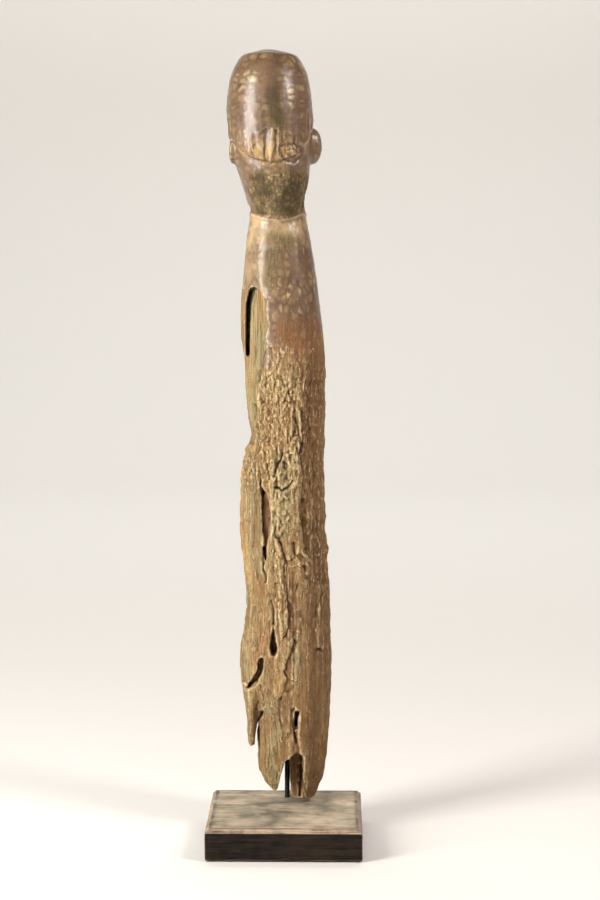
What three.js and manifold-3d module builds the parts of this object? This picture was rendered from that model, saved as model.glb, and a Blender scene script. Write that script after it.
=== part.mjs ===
// A carved ancestor figure standing on a pin mount: one eroded log of hardwood with a smooth capped head,
// lifted on a steel rod that screws into a chamfered wooden block. Millimetres, +Z up. The origin is the
// centre of the block's felted underside, and the figure faces +Y, so -Y is its back.
import * as THREE from "three";
import { mergeVertices } from "three/addons/utils/BufferGeometryUtils.js";
import Module from "manifold-3d";

const wasm = await Module();
wasm.setup();

// ---- driving dimensions --------------------------------------------------------------------------------
const BLOCK_SIDE = 150;
const BLOCK_HEIGHT = 30;
const BLOCK_CHAMFER = 3.6;
const FELT_THICKNESS = 1.5;
const FELT_INSET = 2;
const BLOCK_TOP = FELT_THICKNESS + BLOCK_HEIGHT;

const ROD = { x: 1, y: 46, radius: 2.5, threadRadius: 2, top: 225, foot: 4.5 };
const GAP = 0.3; // the running or glue gap between pieces
const RECESS = { radius: 9.5, depth: 10.5 }; // the nut's pocket in the block's underside
const WASHER = { radius: 8, thickness: 1.2 };
const SPRING_WASHER = { radius: 3.8, thickness: 1, slit: 0.9 };
const NUT = { acrossFlats: 7, thickness: 3.2 };
const SOCKET = { radius: 4, mouth: 118, end: 229 }; // brass, blind at its upper end

const FIGURE_SIDES = 24;
const FAR = 200; // well outside the figure, for cutters that run right through

// ---- solids --------------------------------------------------------------------------------------------
function solidOf(geometry) {
  const bare = geometry.index ? geometry.toNonIndexed() : geometry.clone();
  bare.deleteAttribute("normal");
  bare.deleteAttribute("uv");
  const merged = mergeVertices(bare, 1e-3);
  return new wasm.Manifold(
    new wasm.Mesh({
      numProp: 3,
      vertProperties: merged.attributes.position.array,
      triVerts: new Uint32Array(merged.index.array),
    }),
  );
}

function geometryOf(solid) {
  const mesh = solid.getMesh();
  const geometry = new THREE.BufferGeometry();
  geometry.setAttribute("position", new THREE.BufferAttribute(mesh.vertProperties, 3));
  geometry.setIndex(new THREE.BufferAttribute(mesh.triVerts, 1));
  geometry.computeVertexNormals();
  return geometry;
}

// The same solid, moved by a matrix.
function moved(solid, matrix) {
  return solidOf(geometryOf(solid).applyMatrix4(matrix));
}

function join(solids) {
  return solids.reduce((whole, next) => whole.add(next));
}

function cutAll(solid, cutters) {
  return cutters.reduce((rest, cutter) => rest.subtract(cutter), solid);
}

// An upright cylinder between two heights.
function post(x, y, radius, low, high, sides = 32) {
  const geometry = new THREE.CylinderGeometry(radius, radius, high - low, sides);
  geometry.rotateX(Math.PI / 2);
  geometry.translate(x, y, (low + high) / 2);
  return solidOf(geometry);
}

// A turned shape about an upright axis, from its [radius, height] outline.
function turned(x, y, outline, sides = 32) {
  const geometry = new THREE.LatheGeometry(
    outline.map(([radius, height]) => new THREE.Vector2(radius, height)),
    sides,
  );
  geometry.rotateX(Math.PI / 2);
  geometry.translate(x, y, 0);
  return solidOf(geometry);
}

// A straight cutter with the outline that is seen from behind, as [x, z] points, from one depth to another.
function prism(outline, near, far, smooth = true) {
  const points = outline.map(([x, z]) => new THREE.Vector2(x, z));
  const shape = new THREE.Shape();
  if (smooth) {
    shape.moveTo(points[0].x, points[0].y);
    shape.splineThru([...points.slice(1), points[0]]);
  } else {
    shape.setFromPoints(points);
  }
  const geometry = new THREE.ExtrudeGeometry(shape, {
    depth: far - near,
    bevelEnabled: false,
    curveSegments: smooth ? points.length : 1,
  });
  geometry.rotateX(Math.PI / 2);
  geometry.translate(0, far, 0);
  return solidOf(geometry);
}

function ellipsoid(centre, radii, turn = [0, 0, 0], detail = 8) {
  const geometry = new THREE.SphereGeometry(1, detail * 2, detail);
  geometry.scale(...radii);
  geometry.applyMatrix4(new THREE.Matrix4().makeRotationFromEuler(new THREE.Euler(...turn)));
  geometry.translate(...centre);
  return solidOf(geometry);
}

// A limb along a curve, thick at each point by its own radius.
function limb(points, radii, steps = 14, sides = 12) {
  const curve = new THREE.CatmullRomCurve3(points.map((p) => new THREE.Vector3(...p)));
  const thick = new THREE.CatmullRomCurve3(radii.map((r) => new THREE.Vector3(r, 0, 0)));
  const rings = [];
  for (let i = 0; i <= steps; i++) {
    const t = i / steps;
    const along = curve.getTangent(t);
    const side = new THREE.Vector3(0, 1, 0).cross(along).normalize();
    const out = along.clone().cross(side);
    const middle = curve.getPoint(t);
    const radius = thick.getPoint(t).x;
    rings.push(
      Array.from({ length: sides }, (_, k) => {
        const angle = (2 * Math.PI * k) / sides;
        return middle
          .clone()
          .addScaledVector(side, radius * Math.cos(angle))
          .addScaledVector(out, radius * Math.sin(angle));
      }),
    );
  }
  return solidOf(skin(rings));
}

// The closed surface over a stack of rings, each a list of points turning the same way.
function skin(rings) {
  const sides = rings[0].length;
  const positions = [];
  const triangle = (a, b, c) => positions.push(...a.toArray(), ...b.toArray(), ...c.toArray());
  for (let i = 0; i + 1 < rings.length; i++)
    for (let k = 0; k < sides; k++) {
      const next = (k + 1) % sides;
      triangle(rings[i][k], rings[i][next], rings[i + 1][next]);
      triangle(rings[i][k], rings[i + 1][next], rings[i + 1][k]);
    }
  const cap = (ring, up) => {
    const middle = ring.reduce((sum, p) => sum.add(p), new THREE.Vector3()).divideScalar(sides);
    for (let k = 0; k < sides; k++) {
      const next = (k + 1) % sides;
      if (up) triangle(middle, ring[k], ring[next]);
      else triangle(middle, ring[next], ring[k]);
    }
  };
  cap(rings[0], false);
  cap(rings[rings.length - 1], true);
  const geometry = new THREE.BufferGeometry();
  geometry.setAttribute("position", new THREE.Float32BufferAttribute(positions, 3));
  return geometry;
}

// A log-like body through stations of [z, left, right, back, front], rounded by a smooth curve between them.
function log(stations, step, sides = FIGURE_SIDES, squareness = 2) {
  const value = (z, column) => {
    let i = stations.findIndex((s) => s[0] >= z);
    i = Math.min(Math.max(i, 1), stations.length - 1);
    const at = (k) => stations[Math.min(Math.max(k, 0), stations.length - 1)];
    const t = (z - at(i - 1)[0]) / (at(i)[0] - at(i - 1)[0]);
    const slope = (k) => {
      const span = at(k + 1)[0] - at(k - 1)[0];
      return span ? (at(k + 1)[column] - at(k - 1)[column]) / span : 0;
    };
    const length = at(i)[0] - at(i - 1)[0];
    const [a, b] = [at(i - 1)[column], at(i)[column]];
    const [ma, mb] = [slope(i - 1) * length, slope(i) * length];
    return (
      a * (2 * t ** 3 - 3 * t ** 2 + 1) +
      ma * (t ** 3 - 2 * t ** 2 + t) +
      b * (3 * t ** 2 - 2 * t ** 3) +
      mb * (t ** 3 - t ** 2)
    );
  };
  const [low, high] = [stations[0][0], stations[stations.length - 1][0]];
  const count = Math.round((high - low) / step);
  const rings = Array.from({ length: count + 1 }, (_, i) => {
    const z = low + ((high - low) * i) / count;
    const [left, right, back, front] = [1, 2, 3, 4].map((column) => value(z, column));
    return Array.from({ length: sides }, (_, k) => {
      const angle = (2 * Math.PI * k) / sides;
      const round = (v) => Math.sign(v) * Math.abs(v) ** (2 / squareness);
      return new THREE.Vector3(
        (left + right) / 2 + ((right - left) / 2) * round(Math.cos(angle)),
        (back + front) / 2 + ((front - back) / 2) * round(Math.sin(angle)),
        z,
      );
    });
  });
  return solidOf(skin(rings));
}

// The log bows a little towards its back as it rises: the middle of its depth at a height.
function middleAt(z) {
  return 40 - 0.03 * z;
}

function station(z, left, right, halfDepth) {
  return [z, left, right, middleAt(z) - halfDepth, middleAt(z) + halfDepth];
}

// ---- the figure's body -----------------------------------------------------------------------------------
// The worn outline of the whole log, with the wasted waist where the skin has gone on its left side.
function bodyLog() {
  return log(
    [
      station(37, -20, 29, 28),
      station(50, -25, 34.5, 32),
      station(74, -27.5, 39.5, 35),
      station(100, -28.5, 42, 36.5),
      station(124, -33, 43.3, 37),
      station(150, -43.5, 44.4, 37.5),
      station(178, -46, 44.7, 37.5),
      station(208, -41, 43.7, 37),
      station(232, -38, 42.6, 37),
      station(258, -39.5, 42.3, 36.5),
      station(282, -43, 40.6, 36.5),
      station(330, -44, 38.4, 36.5),
      station(362, -43, 36.6, 35.5),
      station(378, -39.5, 36.6, 35),
      station(390, -32.5, 36.6, 34.5),
      station(404, -35.3, 37.4, 34.5),
      station(426, -37.8, 38.4, 35),
      station(472, -39.8, 38.4, 36.5),
      station(490, -42.8, 37, 37),
      station(520, -43.2, 34, 36.5),
      station(554, -41, 29.8, 34),
      station(588, -37.8, 24.6, 30),
      station(612, -34.4, 20, 25),
      station(645, -31, 16, 22),
    ],
    19,
  );
}

// The sound wood under the lost skin.
function heartwood() {
  return log(
    [
      station(370, -34, 22, 23),
      station(390, -32.5, 22, 25),
      station(410, -36, 22, 26),
      station(450, -39, 22, 27),
      station(510, -38, 22, 27.5),
      station(556, -34, 20, 24),
    ],
    20,
    20,
  );
}

// Where the skin has broken away on the left of the back, down to the heartwood.
function lostSkin() {
  const outline = [
    [-34, 540], [-30, 543], [-24.5, 540.5], [-18.5, 529], [-18.2, 516], [-16.4, 506], [-19, 494],
    [-17.2, 479], [-20, 465], [-24.5, 446], [-25.5, 424], [-26, 405], [-29, 389], [-60, 389],
    [-60, 475], [-38.5, 476], [-38, 502], [-37.5, 526],
  ];
  return prism(outline, -FAR, middleAt(480), false).subtract(heartwood());
}

// The deep slot between the thin strip of skin that is left there and the heartwood.
function stripSlot() {
  return prism(
    [
      [-30.5, 541], [-34.5, 538], [-36.8, 526], [-37.6, 502], [-38.2, 478], [-36.4, 475],
      [-34, 478], [-33.8, 505], [-33.4, 528],
    ],
    -FAR,
    middleAt(500) + 12,
  );
}

// The splits and rot pockets that open in the back, each an outline and how deep it is under the middle.
function rotPockets() {
  const split = [
    [-26.6, 380], [-24.6, 358], [-23, 339], [-22.2, 317], [-21.2, 298], [-19.8, 278], [-19.2, 256],
    [-17.8, 272], [-15.5, 304], [-14.8, 326], [-17, 342], [-21, 350], [-24, 368],
  ];
  const slot = [
    [-12, 219], [-14.2, 202], [-15.3, 191], [-12.9, 184], [-8.5, 184], [-6.9, 191], [-9.3, 202],
  ];
  const zigzag = [
    [-19.2, 184], [-24.7, 181], [-27.4, 175], [-27.6, 168], [-32.4, 160], [-37.4, 152.7],
    [-35, 149], [-27.5, 157.4], [-21.4, 166], [-19.5, 177],
  ];
  const nick = [[9.4, 128], [12.5, 128], [13, 118], [11.2, 107], [9.4, 116]];
  return [
    prism(split, -FAR, middleAt(320) - 14),
    prism(slot, -FAR, middleAt(200) - 18),
    prism(zigzag, -FAR, middleAt(165) - 14),
    prism(nick, -FAR, middleAt(115) - 20),
  ];
}

// The loose slab's broken tip, low on the left, beside the main stump.
function slabTip() {
  return log(
    [
      [90, -36, -31.5, 18, 30],
      [102, -38, -29, 13, 36],
      [125, -39.4, -26, 9, 42],
      [142, -42, -22, 8, 44],
      [154, -44.4, -20, 8, 46],
    ],
    13,
    10,
  );
}

function tipGap() {
  return prism(
    [
      [-21.6, 130], [-20.5, 123], [-24.3, 117.5], [-26.3, 108], [-27.7, 99], [-27, 86],
      [-31, 86], [-31, 99], [-28.8, 110.5], [-26, 120.3], [-25, 125],
    ],
    -FAR,
    FAR,
  );
}

// The rotted foot: an arch through the back wall, a gap for the rod, a hollow round it and a worn front edge.
function footCuts() {
  const arch = [
    [-7, 30], [-6, 57], [-1.3, 72], [2.8, 79.5], [5.6, 83], [11, 85.5],
    [16.6, 84], [17.4, 76], [16.8, 61], [18, 44], [20, 36], [20, 30],
  ];
  const rodGap = [[-12, 30], [-6, 62], [-2, 76], [3, 82], [4.4, 62], [5, 42], [9, 36], [20, 33], [20, 30]];
  const frontEdge = [
    [-60, 20], [-60, 66], [-30, 58], [-24, 46], [-17, 44], [-12, 60], [-6, 68], [2, 66], [7, 52],
    [13, 47], [19, 56], [26, 54], [33, 44], [38, 48], [60, 60], [60, 20],
  ];
  const hollow = turned(
    ROD.x + 1,
    ROD.y + 1,
    [
      [0, 20], [15, 20], [14, 50], [12, 85], [9, 110], [6, 122], [0, 125],
    ],
    16,
  );
  const leftLobe = [
    [-60, 30], [-60, 64], [-24, 62], [-18, 51.5], [-11, 47.5], [-7.7, 50], [-5, 58], [-2, 30],
  ];
  return [
    prism(leftLobe, -FAR, ROD.y + 6.5, false),
    prism(arch, -FAR, middleAt(60) - 17, false),
    prism(rodGap, -FAR, ROD.y + 4, false),
    prism(frontEdge, ROD.y + 6, FAR, false),
    hollow,
  ];
}

// Arms in low relief: each hangs from the shoulder, bends at the elbow and lays its hand on the belly.
function arms() {
  const elbowHeight = 470;
  return [-1, 1].flatMap((side) => {
    const elbow = [-2 + side * 30, middleAt(elbowHeight) + 20, elbowHeight];
    const upper = [[-6 + side * 18, middleAt(590) + 14, 590], [-4 + side * 29, middleAt(530) + 17, 530], elbow];
    const fore = [elbow, [-2 + side * 21, middleAt(476) + 31, 477], [-2 + side * 7, middleAt(490) + 36, 490]];
    const joint = ellipsoid(elbow, [7.2, 7.2, 7.2], [0, 0, 0], 5);
    return [limb(upper, [5, 8, 7], 5, 8), limb(fore, [6.5, 6.5, 5], 4, 8), joint];
  });
}

// ---- the figure's head -----------------------------------------------------------------------------------
// The head is made facing +Y about its own upright axis, then turned a little and set on the neck.
const HEAD = { x: -15.5, y: 19, turn: 0.24, rimSlope: 1, rimLow: 655.5 };

// Face and nape: a form that tapers to the neck, hollowed from below between the nape and the chin.
function jaw() {
  const form = log(
    [
      [604, -14, 29, -23, 32],
      [612, -17.5, 32.5, -26, 35],
      [620, -19.4, 34, -28, 37],
      [631, -22.6, 36, -31, 39],
      [642, -26.4, 38.6, -33.5, 39.5],
      [654, -31, 40, -35.5, 39],
      [672, -36.2, 40.2, -37.5, 38.5],
      [690, -38.2, 40.4, -38.5, 38.5],
      [708, -38.5, 40, -39, 39],
      [726, -37.5, 37.5, -37, 39],
      [742, -32, 31, -31, 34],
      [754, -22, 20, -22, 24],
    ],
    11,
    20,
  );
  const archRadius = 50;
  const under = new THREE.CylinderGeometry(archRadius, archRadius, FAR, 48);
  under.rotateZ(Math.PI / 2);
  under.translate(0, 4, 620 - archRadius);
  return form.subtract(solidOf(under));
}

// The smooth cap of hair: an egg cut off along a plane that drops from the brow to the nape.
function cap() {
  const [centre, halfUp, halfDown, halfWide] = [706, 62, 60, 41.2];
  const rings = 14;
  const stations = Array.from({ length: rings + 1 }, (_, i) => {
    const z = centre - halfDown * 0.995 + (i / rings) * (halfUp + halfDown) * 0.995;
    const share = z > centre ? (z - centre) / halfUp : (centre - z) / halfDown;
    const power = z > centre ? 2.6 : 3.2;
    const wide = (1 - Math.min(share, 0.9995) ** power) ** (1 / power);
    return [z, -halfWide * wide, halfWide * wide, -43 * wide, 41 * wide];
  });
  const below = new THREE.BoxGeometry(FAR, FAR * 2, FAR);
  below.translate(0, 0, -FAR / 2);
  below.rotateX(Math.atan(HEAD.rimSlope));
  below.translate(0, -42, HEAD.rimLow);
  return log(stations, 7).subtract(solidOf(below));
}

function ear(x, y, reach) {
  const tilt = [0.12, 0, Math.sign(x) * 0.3];
  const shell = ellipsoid([x, y, 677], [reach, 11, 19], tilt);
  const bowl = ellipsoid([x + Math.sign(x) * reach * 0.6, y + 4, 679], [reach * 0.6, 6, 11], tilt, 6);
  return shell.subtract(bowl);
}

// A calm, plain face on even proportions: brow, long nose, lidded eyes and closed lips.
function faceFeatures() {
  const eye = (side) => ellipsoid([side * 14, 35, 690], [9, 5, 5.2], [0, 0, -side * 0.35], 7);
  const brow = (side) =>
    limb([[side * 4, 38, 701], [side * 14, 38, 705], [side * 25, 31.5, 701]], [3, 3.2, 2.4], 6, 8);
  const nose = log(
    [
      [658, -7.5, 7.5, 28, 45],
      [663, -8.5, 8.5, 28, 48.5],
      [672, -5.5, 5.5, 28, 46.5],
      [688, -4, 4, 28, 42.5],
      [704, -4, 4, 28, 39.5],
    ],
    7,
    12,
  );
  const lip = (z, thick) =>
    limb([[-12, 34.5, z], [-5, 38.5, z + 0.6], [5, 38.5, z + 0.6], [12, 34.5, z]], [thick, thick + 0.8, thick], 6, 8);
  const chin = ellipsoid([2, 33, 626], [12, 7.5, 8], [0, 0, 0], 7);
  return [eye(-1), eye(1), brow(-1), brow(1), nose, lip(647, 2.4), lip(642, 2.6), chin];
}

function head() {
  const form = join([jaw(), cap(), ear(-35.8, 1, 3.6), ear(43.5, 5, 9.5), ...faceFeatures()]);
  const place = new THREE.Matrix4().makeRotationZ(HEAD.turn).setPosition(HEAD.x, HEAD.y, 0);
  return moved(form, place);
}

function figure() {
  return cutAll(join([bodyLog(), slabTip(), ...arms(), head()]), [
    lostSkin(),
    stripSlot(),
    ...rotPockets(),
    tipGap(),
    ...footCuts(),
    post(ROD.x, ROD.y, SOCKET.radius + GAP, 60, SOCKET.end + GAP),
  ]);
}

// ---- the mount -------------------------------------------------------------------------------------------
function socket() {
  const bore = post(ROD.x, ROD.y, ROD.radius + GAP, SOCKET.mouth - 1, ROD.top + GAP);
  return post(ROD.x, ROD.y, SOCKET.radius, SOCKET.mouth, SOCKET.end).subtract(bore);
}

function rod() {
  return turned(ROD.x, ROD.y, [
    [0, ROD.foot],
    [ROD.threadRadius - 0.4, ROD.foot],
    [ROD.threadRadius, ROD.foot + 0.5],
    [ROD.threadRadius, BLOCK_TOP],
    [ROD.radius, BLOCK_TOP],
    [ROD.radius, ROD.top - 1.5],
    [ROD.radius - 0.8, ROD.top],
    [0, ROD.top],
  ]);
}

const NUT_SEAT = FELT_THICKNESS + RECESS.depth;
const BOLT_HOLE = ROD.threadRadius + GAP;

function ring(outer, inner, low, high) {
  return post(ROD.x, ROD.y, outer, low, high).subtract(post(ROD.x, ROD.y, inner, low - 1, high + 1));
}

function washer() {
  return ring(WASHER.radius, BOLT_HOLE, NUT_SEAT - WASHER.thickness, NUT_SEAT);
}

function springWasher() {
  const top = NUT_SEAT - WASHER.thickness;
  const slit = new THREE.BoxGeometry(SPRING_WASHER.radius * 2, SPRING_WASHER.slit, 4);
  slit.rotateX(0.4);
  slit.translate(ROD.x + SPRING_WASHER.radius, ROD.y, top - SPRING_WASHER.thickness / 2);
  return ring(SPRING_WASHER.radius, BOLT_HOLE, top - SPRING_WASHER.thickness, top).subtract(solidOf(slit));
}

function nut() {
  const top = NUT_SEAT - WASHER.thickness - SPRING_WASHER.thickness;
  const corner = NUT.acrossFlats / Math.sqrt(3);
  const hexagon = post(ROD.x, ROD.y, corner, top - NUT.thickness, top, 6);
  const rounded = turned(ROD.x, ROD.y, [
    [0, top - NUT.thickness],
    [corner - 0.6, top - NUT.thickness],
    [corner, top - NUT.thickness + 0.35],
    [corner, top - 0.35],
    [corner - 0.6, top],
    [0, top],
  ]);
  const bore = post(ROD.x, ROD.y, BOLT_HOLE, top - NUT.thickness - 1, top + 1);
  return hexagon.intersect(rounded).subtract(bore);
}

function block() {
  const half = BLOCK_SIDE / 2;
  const frustum = (inset, low, topInset, high) => {
    const ringAt = (side, z) =>
      [[side, -side], [side, side], [-side, side], [-side, -side]].map(
        ([x, y]) => new THREE.Vector3(x, y, z),
      );
    return solidOf(skin([ringAt(half - inset, low), ringAt(half - topInset, high)]));
  };
  const chamferFoot = BLOCK_TOP - BLOCK_CHAMFER;
  const body = frustum(0, FELT_THICKNESS, 0, chamferFoot).add(
    frustum(0, chamferFoot, BLOCK_CHAMFER, BLOCK_TOP),
  );
  return cutAll(body, [
    post(ROD.x, ROD.y, RECESS.radius, 0, NUT_SEAT),
    post(ROD.x, ROD.y, BOLT_HOLE, 0, BLOCK_TOP + 1),
  ]);
}

function felt() {
  const side = BLOCK_SIDE - 2 * FELT_INSET;
  const sheet = new THREE.BoxGeometry(side, side, FELT_THICKNESS);
  sheet.translate(0, 0, FELT_THICKNESS / 2);
  return solidOf(sheet);
}

// ---- materials and nodes -----------------------------------------------------------------------------------
const oldWood = new THREE.MeshStandardMaterial({ color: 0x8d7350, roughness: 0.7, metalness: 0 });
const blackenedWood = new THREE.MeshStandardMaterial({ color: 0x453c33, roughness: 0.55, metalness: 0 });
const blackSteel = new THREE.MeshStandardMaterial({ color: 0x1d2422, roughness: 0.45, metalness: 0.8 });
const zincSteel = new THREE.MeshStandardMaterial({ color: 0xa9adb0, roughness: 0.35, metalness: 1 });
const brass = new THREE.MeshStandardMaterial({ color: 0xb08d4a, roughness: 0.35, metalness: 1 });
const greenFelt = new THREE.MeshStandardMaterial({ color: 0x24382c, roughness: 1, metalness: 0 });

const object = new THREE.Group();

function addNode(name, solid, material) {
  const mesh = new THREE.Mesh(geometryOf(solid), material);
  mesh.name = name;
  object.add(mesh);
}

addNode("carved_figure", figure(), oldWood);
addNode("pin_socket", socket(), brass);
addNode("mount_rod", rod(), blackSteel);
addNode("flat_washer", washer(), zincSteel);
addNode("spring_washer", springWasher(), zincSteel);
addNode("hex_nut", nut(), zincSteel);
addNode("base_block", block(), blackenedWood);
addNode("felt_sheet", felt(), greenFelt);

export default object;
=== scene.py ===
import itertools
import math

import bpy
import numpy as np
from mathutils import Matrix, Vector


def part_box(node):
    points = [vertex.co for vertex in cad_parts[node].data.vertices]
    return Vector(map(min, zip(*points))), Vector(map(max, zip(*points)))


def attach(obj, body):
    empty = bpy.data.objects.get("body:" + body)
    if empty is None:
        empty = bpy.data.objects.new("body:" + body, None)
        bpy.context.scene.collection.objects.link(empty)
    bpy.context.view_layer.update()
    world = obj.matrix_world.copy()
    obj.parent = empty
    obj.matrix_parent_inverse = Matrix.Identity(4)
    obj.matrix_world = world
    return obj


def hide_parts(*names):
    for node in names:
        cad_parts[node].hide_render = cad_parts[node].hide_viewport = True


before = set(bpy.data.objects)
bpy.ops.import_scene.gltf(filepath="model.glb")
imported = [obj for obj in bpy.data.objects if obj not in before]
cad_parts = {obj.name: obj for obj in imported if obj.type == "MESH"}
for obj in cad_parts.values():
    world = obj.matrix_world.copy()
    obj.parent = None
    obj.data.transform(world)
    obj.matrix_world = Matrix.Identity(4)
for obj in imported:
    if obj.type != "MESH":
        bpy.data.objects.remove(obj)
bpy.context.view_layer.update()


# ---- Camera ------------------------------------------------------------------------------------------
# A long portrait lens two metres behind the figure, a little above its middle and tipped slightly down.
camera = bpy.data.objects.new("camera", bpy.data.cameras.new("camera"))
bpy.context.collection.objects.link(camera)
camera.location = (0.0463, -2.0482, 0.5906)
camera.rotation_euler = (math.radians(90 - 5.72), 0, math.radians(0.89))
camera.data.lens = 85.4
camera.data.clip_end = 20
bpy.context.scene.camera = camera


# ---- Floor and studio light --------------------------------------------------------------------------
# A plain pale sweep: floor, a wide curve and a wall, washed by a lamp of its own. The figure is lit by a tall
# soft box on the left and a small weaker one on the right, in a dim, even room. Three floor lamps face away
# from it, so that the paper is pale on every side.
SWEEP_BACK = 3.0
SWEEP_RADIUS = 1.0
SWEEP_HALF = 8
FLOOR_LAMP_OUT = 2.6
FLOOR_LAMP_UP = 3.2
FLOOR_LAMP_AIM = 5.4

bpy.ops.object.select_all(action="DESELECT")
bpy.ops.mesh.primitive_plane_add(size=1)
sweep = bpy.context.object
sweep.name = "sweep"
bend = [(SWEEP_BACK + SWEEP_RADIUS * math.sin(a), SWEEP_RADIUS * (1 - math.cos(a)))
        for a in np.linspace(0, math.pi / 2, 17)]
side_line = [(-SWEEP_HALF, 0.0), *bend, (SWEEP_BACK + SWEEP_RADIUS, SWEEP_HALF)]
sweep.data.clear_geometry()
sweep.data.from_pydata(
    [(x, y, z) for y, z in side_line for x in (-SWEEP_HALF, SWEEP_HALF)],
    [],
    [(2 * i, 2 * i + 1, 2 * i + 3, 2 * i + 2) for i in range(len(side_line) - 1)],
)
bpy.ops.object.shade_smooth()
paper = bpy.data.materials.new("pale_paper")
paper.use_nodes = True
paper.node_tree.nodes["Principled BSDF"].inputs["Base Color"].default_value = (0.7, 0.68, 0.65, 1)
paper.node_tree.nodes["Principled BSDF"].inputs["Roughness"].default_value = 0.9
sweep.data.materials.append(paper)


def soft_box(name, place, aim, size, watts, colour=(1, 1, 1)):
    lamp = bpy.data.objects.new(name, bpy.data.lights.new(name, "AREA"))
    bpy.context.collection.objects.link(lamp)
    lamp.location = place
    lamp.rotation_euler = (Vector(aim) - Vector(place)).to_track_quat("-Z", "Y").to_euler()
    lamp.data.shape = "RECTANGLE"
    lamp.data.size, lamp.data.size_y = size
    lamp.data.energy = watts
    lamp.data.color = colour
    return lamp


soft_box("key_light", (-1.05, -0.78, 0.74), (0, 0.03, 0.5), (0.46, 1.2), 36, (1, 0.965, 0.91))
soft_box("side_light", (0.93, -0.6, 1.19), (0, 0.03, 0.66), (0.26, 0.42), 13, (1, 0.89, 0.84))
wash = soft_box("wash_light", (0, 2.0, 3.4), (0, 3.2, 0.3), (4.0, 1.0), 120, (1, 0.99, 0.97))
wash.visible_glossy = False
for way, (out_x, out_y) in {"front": (0, -1), "left": (-1, 0), "right": (1, 0)}.items():
    place = (FLOOR_LAMP_OUT * out_x, FLOOR_LAMP_OUT * out_y, FLOOR_LAMP_UP)
    aim = (FLOOR_LAMP_AIM * out_x, FLOOR_LAMP_AIM * out_y, 0)
    floor_lamp = soft_box("floor_lamp_" + way, place, aim, (4.0, 2.0), 60, (1, 0.99, 0.97))
    floor_lamp.visible_glossy = False
room = bpy.data.worlds.new("room")
bpy.context.scene.world = room
room.use_nodes = True
ROOM_LIGHT = 0.11
ROOM_SEEN = 0.6
backdrop = room.node_tree.nodes["Background"]
backdrop.inputs["Color"].default_value = (1, 0.93, 0.85, 1)
seen = room.node_tree.nodes.new("ShaderNodeLightPath")
level = room.node_tree.nodes.new("ShaderNodeMapRange")
level.inputs["To Min"].default_value = ROOM_LIGHT
level.inputs["To Max"].default_value = ROOM_SEEN
room.node_tree.links.new(seen.outputs["Is Camera Ray"], level.inputs["Value"])
room.node_tree.links.new(level.outputs["Result"], backdrop.inputs["Strength"])
bpy.context.scene.view_settings.view_transform = "Standard"


# ---- The carved figure -------------------------------------------------------------------------------
# One log of dense hardwood, carved with an adze and a knife. The head and trunk have been handled and oiled
# for a long time; the buried part has rotted back into ridges, splits and loose slabs.
MM = 1000  # the carver's units, millimetres, in a metre
SKIN = 1.05  # the size of the carving's finest facet
MOST_TRIANGLES = 196000

bpy.ops.object.select_all(action="DESELECT")
figure = bpy.data.objects.new("carved_log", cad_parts["carved_figure"].data.copy())
bpy.context.collection.objects.link(figure)
bpy.context.view_layer.objects.active = figure
figure.select_set(True)
bpy.ops.object.mode_set(mode="EDIT")
bpy.ops.mesh.select_all(action="SELECT")
bpy.ops.mesh.remove_doubles(threshold=1e-6)
bpy.ops.object.mode_set(mode="OBJECT")


def finish_with(piece, kind, **settings):
    """Adds a modifier to a piece and applies it."""
    bpy.context.view_layer.objects.active = piece
    modifier = piece.modifiers.new(kind.lower(), kind)
    for name, value in settings.items():
        setattr(modifier, name, value)
    bpy.ops.object.modifier_apply(modifier=modifier.name)


finish_with(figure, "REMESH", mode="VOXEL", voxel_size=SKIN / MM, use_smooth_shade=True)
finish_with(figure, "SMOOTH", factor=0.5, iterations=4)


def numbers(items, name, width):
    """One property of a mesh's points or edges, as an array."""
    flat = np.empty(len(items) * width, np.int32 if name == "vertices" else np.float64)
    items.foreach_get(name, flat)
    return flat.reshape(-1, width)


def move_to(piece, places):
    piece.data.vertices.foreach_set("co", (places / MM).ravel())
    piece.data.update()


def web_of(piece):
    """For each point of a mesh: its neighbours, one point's after another's, and where each point's begin."""
    ends = numbers(piece.data.edges, "vertices", 2)
    both = np.concatenate([ends, ends[:, ::-1]])
    both = both[np.argsort(both[:, 0], kind="stable")]
    count = np.bincount(both[:, 0], minlength=len(piece.data.vertices))
    return both[:, 1], np.concatenate([[0], np.cumsum(count)[:-1]]), count


def even_out(values, reach, web, facet):
    """Averages a value or place with its neighbours' until it is smooth over about reach millimetres."""
    neighbours, begins, count = web
    values = values.reshape(len(values), -1)
    for _ in range(int(round((reach / facet) ** 2))):
        values = 0.4 * values + 0.6 * np.add.reduceat(values[neighbours], begins, axis=0) / count[:, None]
    return values if values.shape[1] > 1 else values[:, 0]


def fade(low, high, value):
    """0 at low, 1 at high, smooth between; low may be the larger."""
    share = np.clip((value - low) / (high - low), 0, 1)
    return share * share * (3 - 2 * share)


def scatter(cells, seed):
    """A random number from 0 to 1 for each whole-numbered cell."""
    mixed = cells[:, 0] * 73856093 ^ cells[:, 1] * 19349663 ^ cells[:, 2] * 83492791 ^ seed * 2654435761
    mixed = (mixed ^ mixed >> 13) * 1274126177 & 0x7FFFFFFF
    mixed = (mixed ^ mixed >> 11) * 461845907 & 0x7FFFFFFF
    return (mixed >> 8 & 0xFFFF) / 65535


def swell(places, size, seed):
    """Smooth lumps from -1 to 1, each about size across in x, y and z."""
    cell = places / np.array(size)
    corner = np.floor(cell).astype(np.int64)
    share = cell - corner
    share = share * share * (3 - 2 * share)
    total = np.zeros(len(places))
    for step in itertools.product((0, 1), repeat=3):
        weight = np.prod(np.where(step, share, 1 - share), axis=1)
        total += weight * (2 * scatter(corner + step, seed) - 1)
    return total


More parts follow.
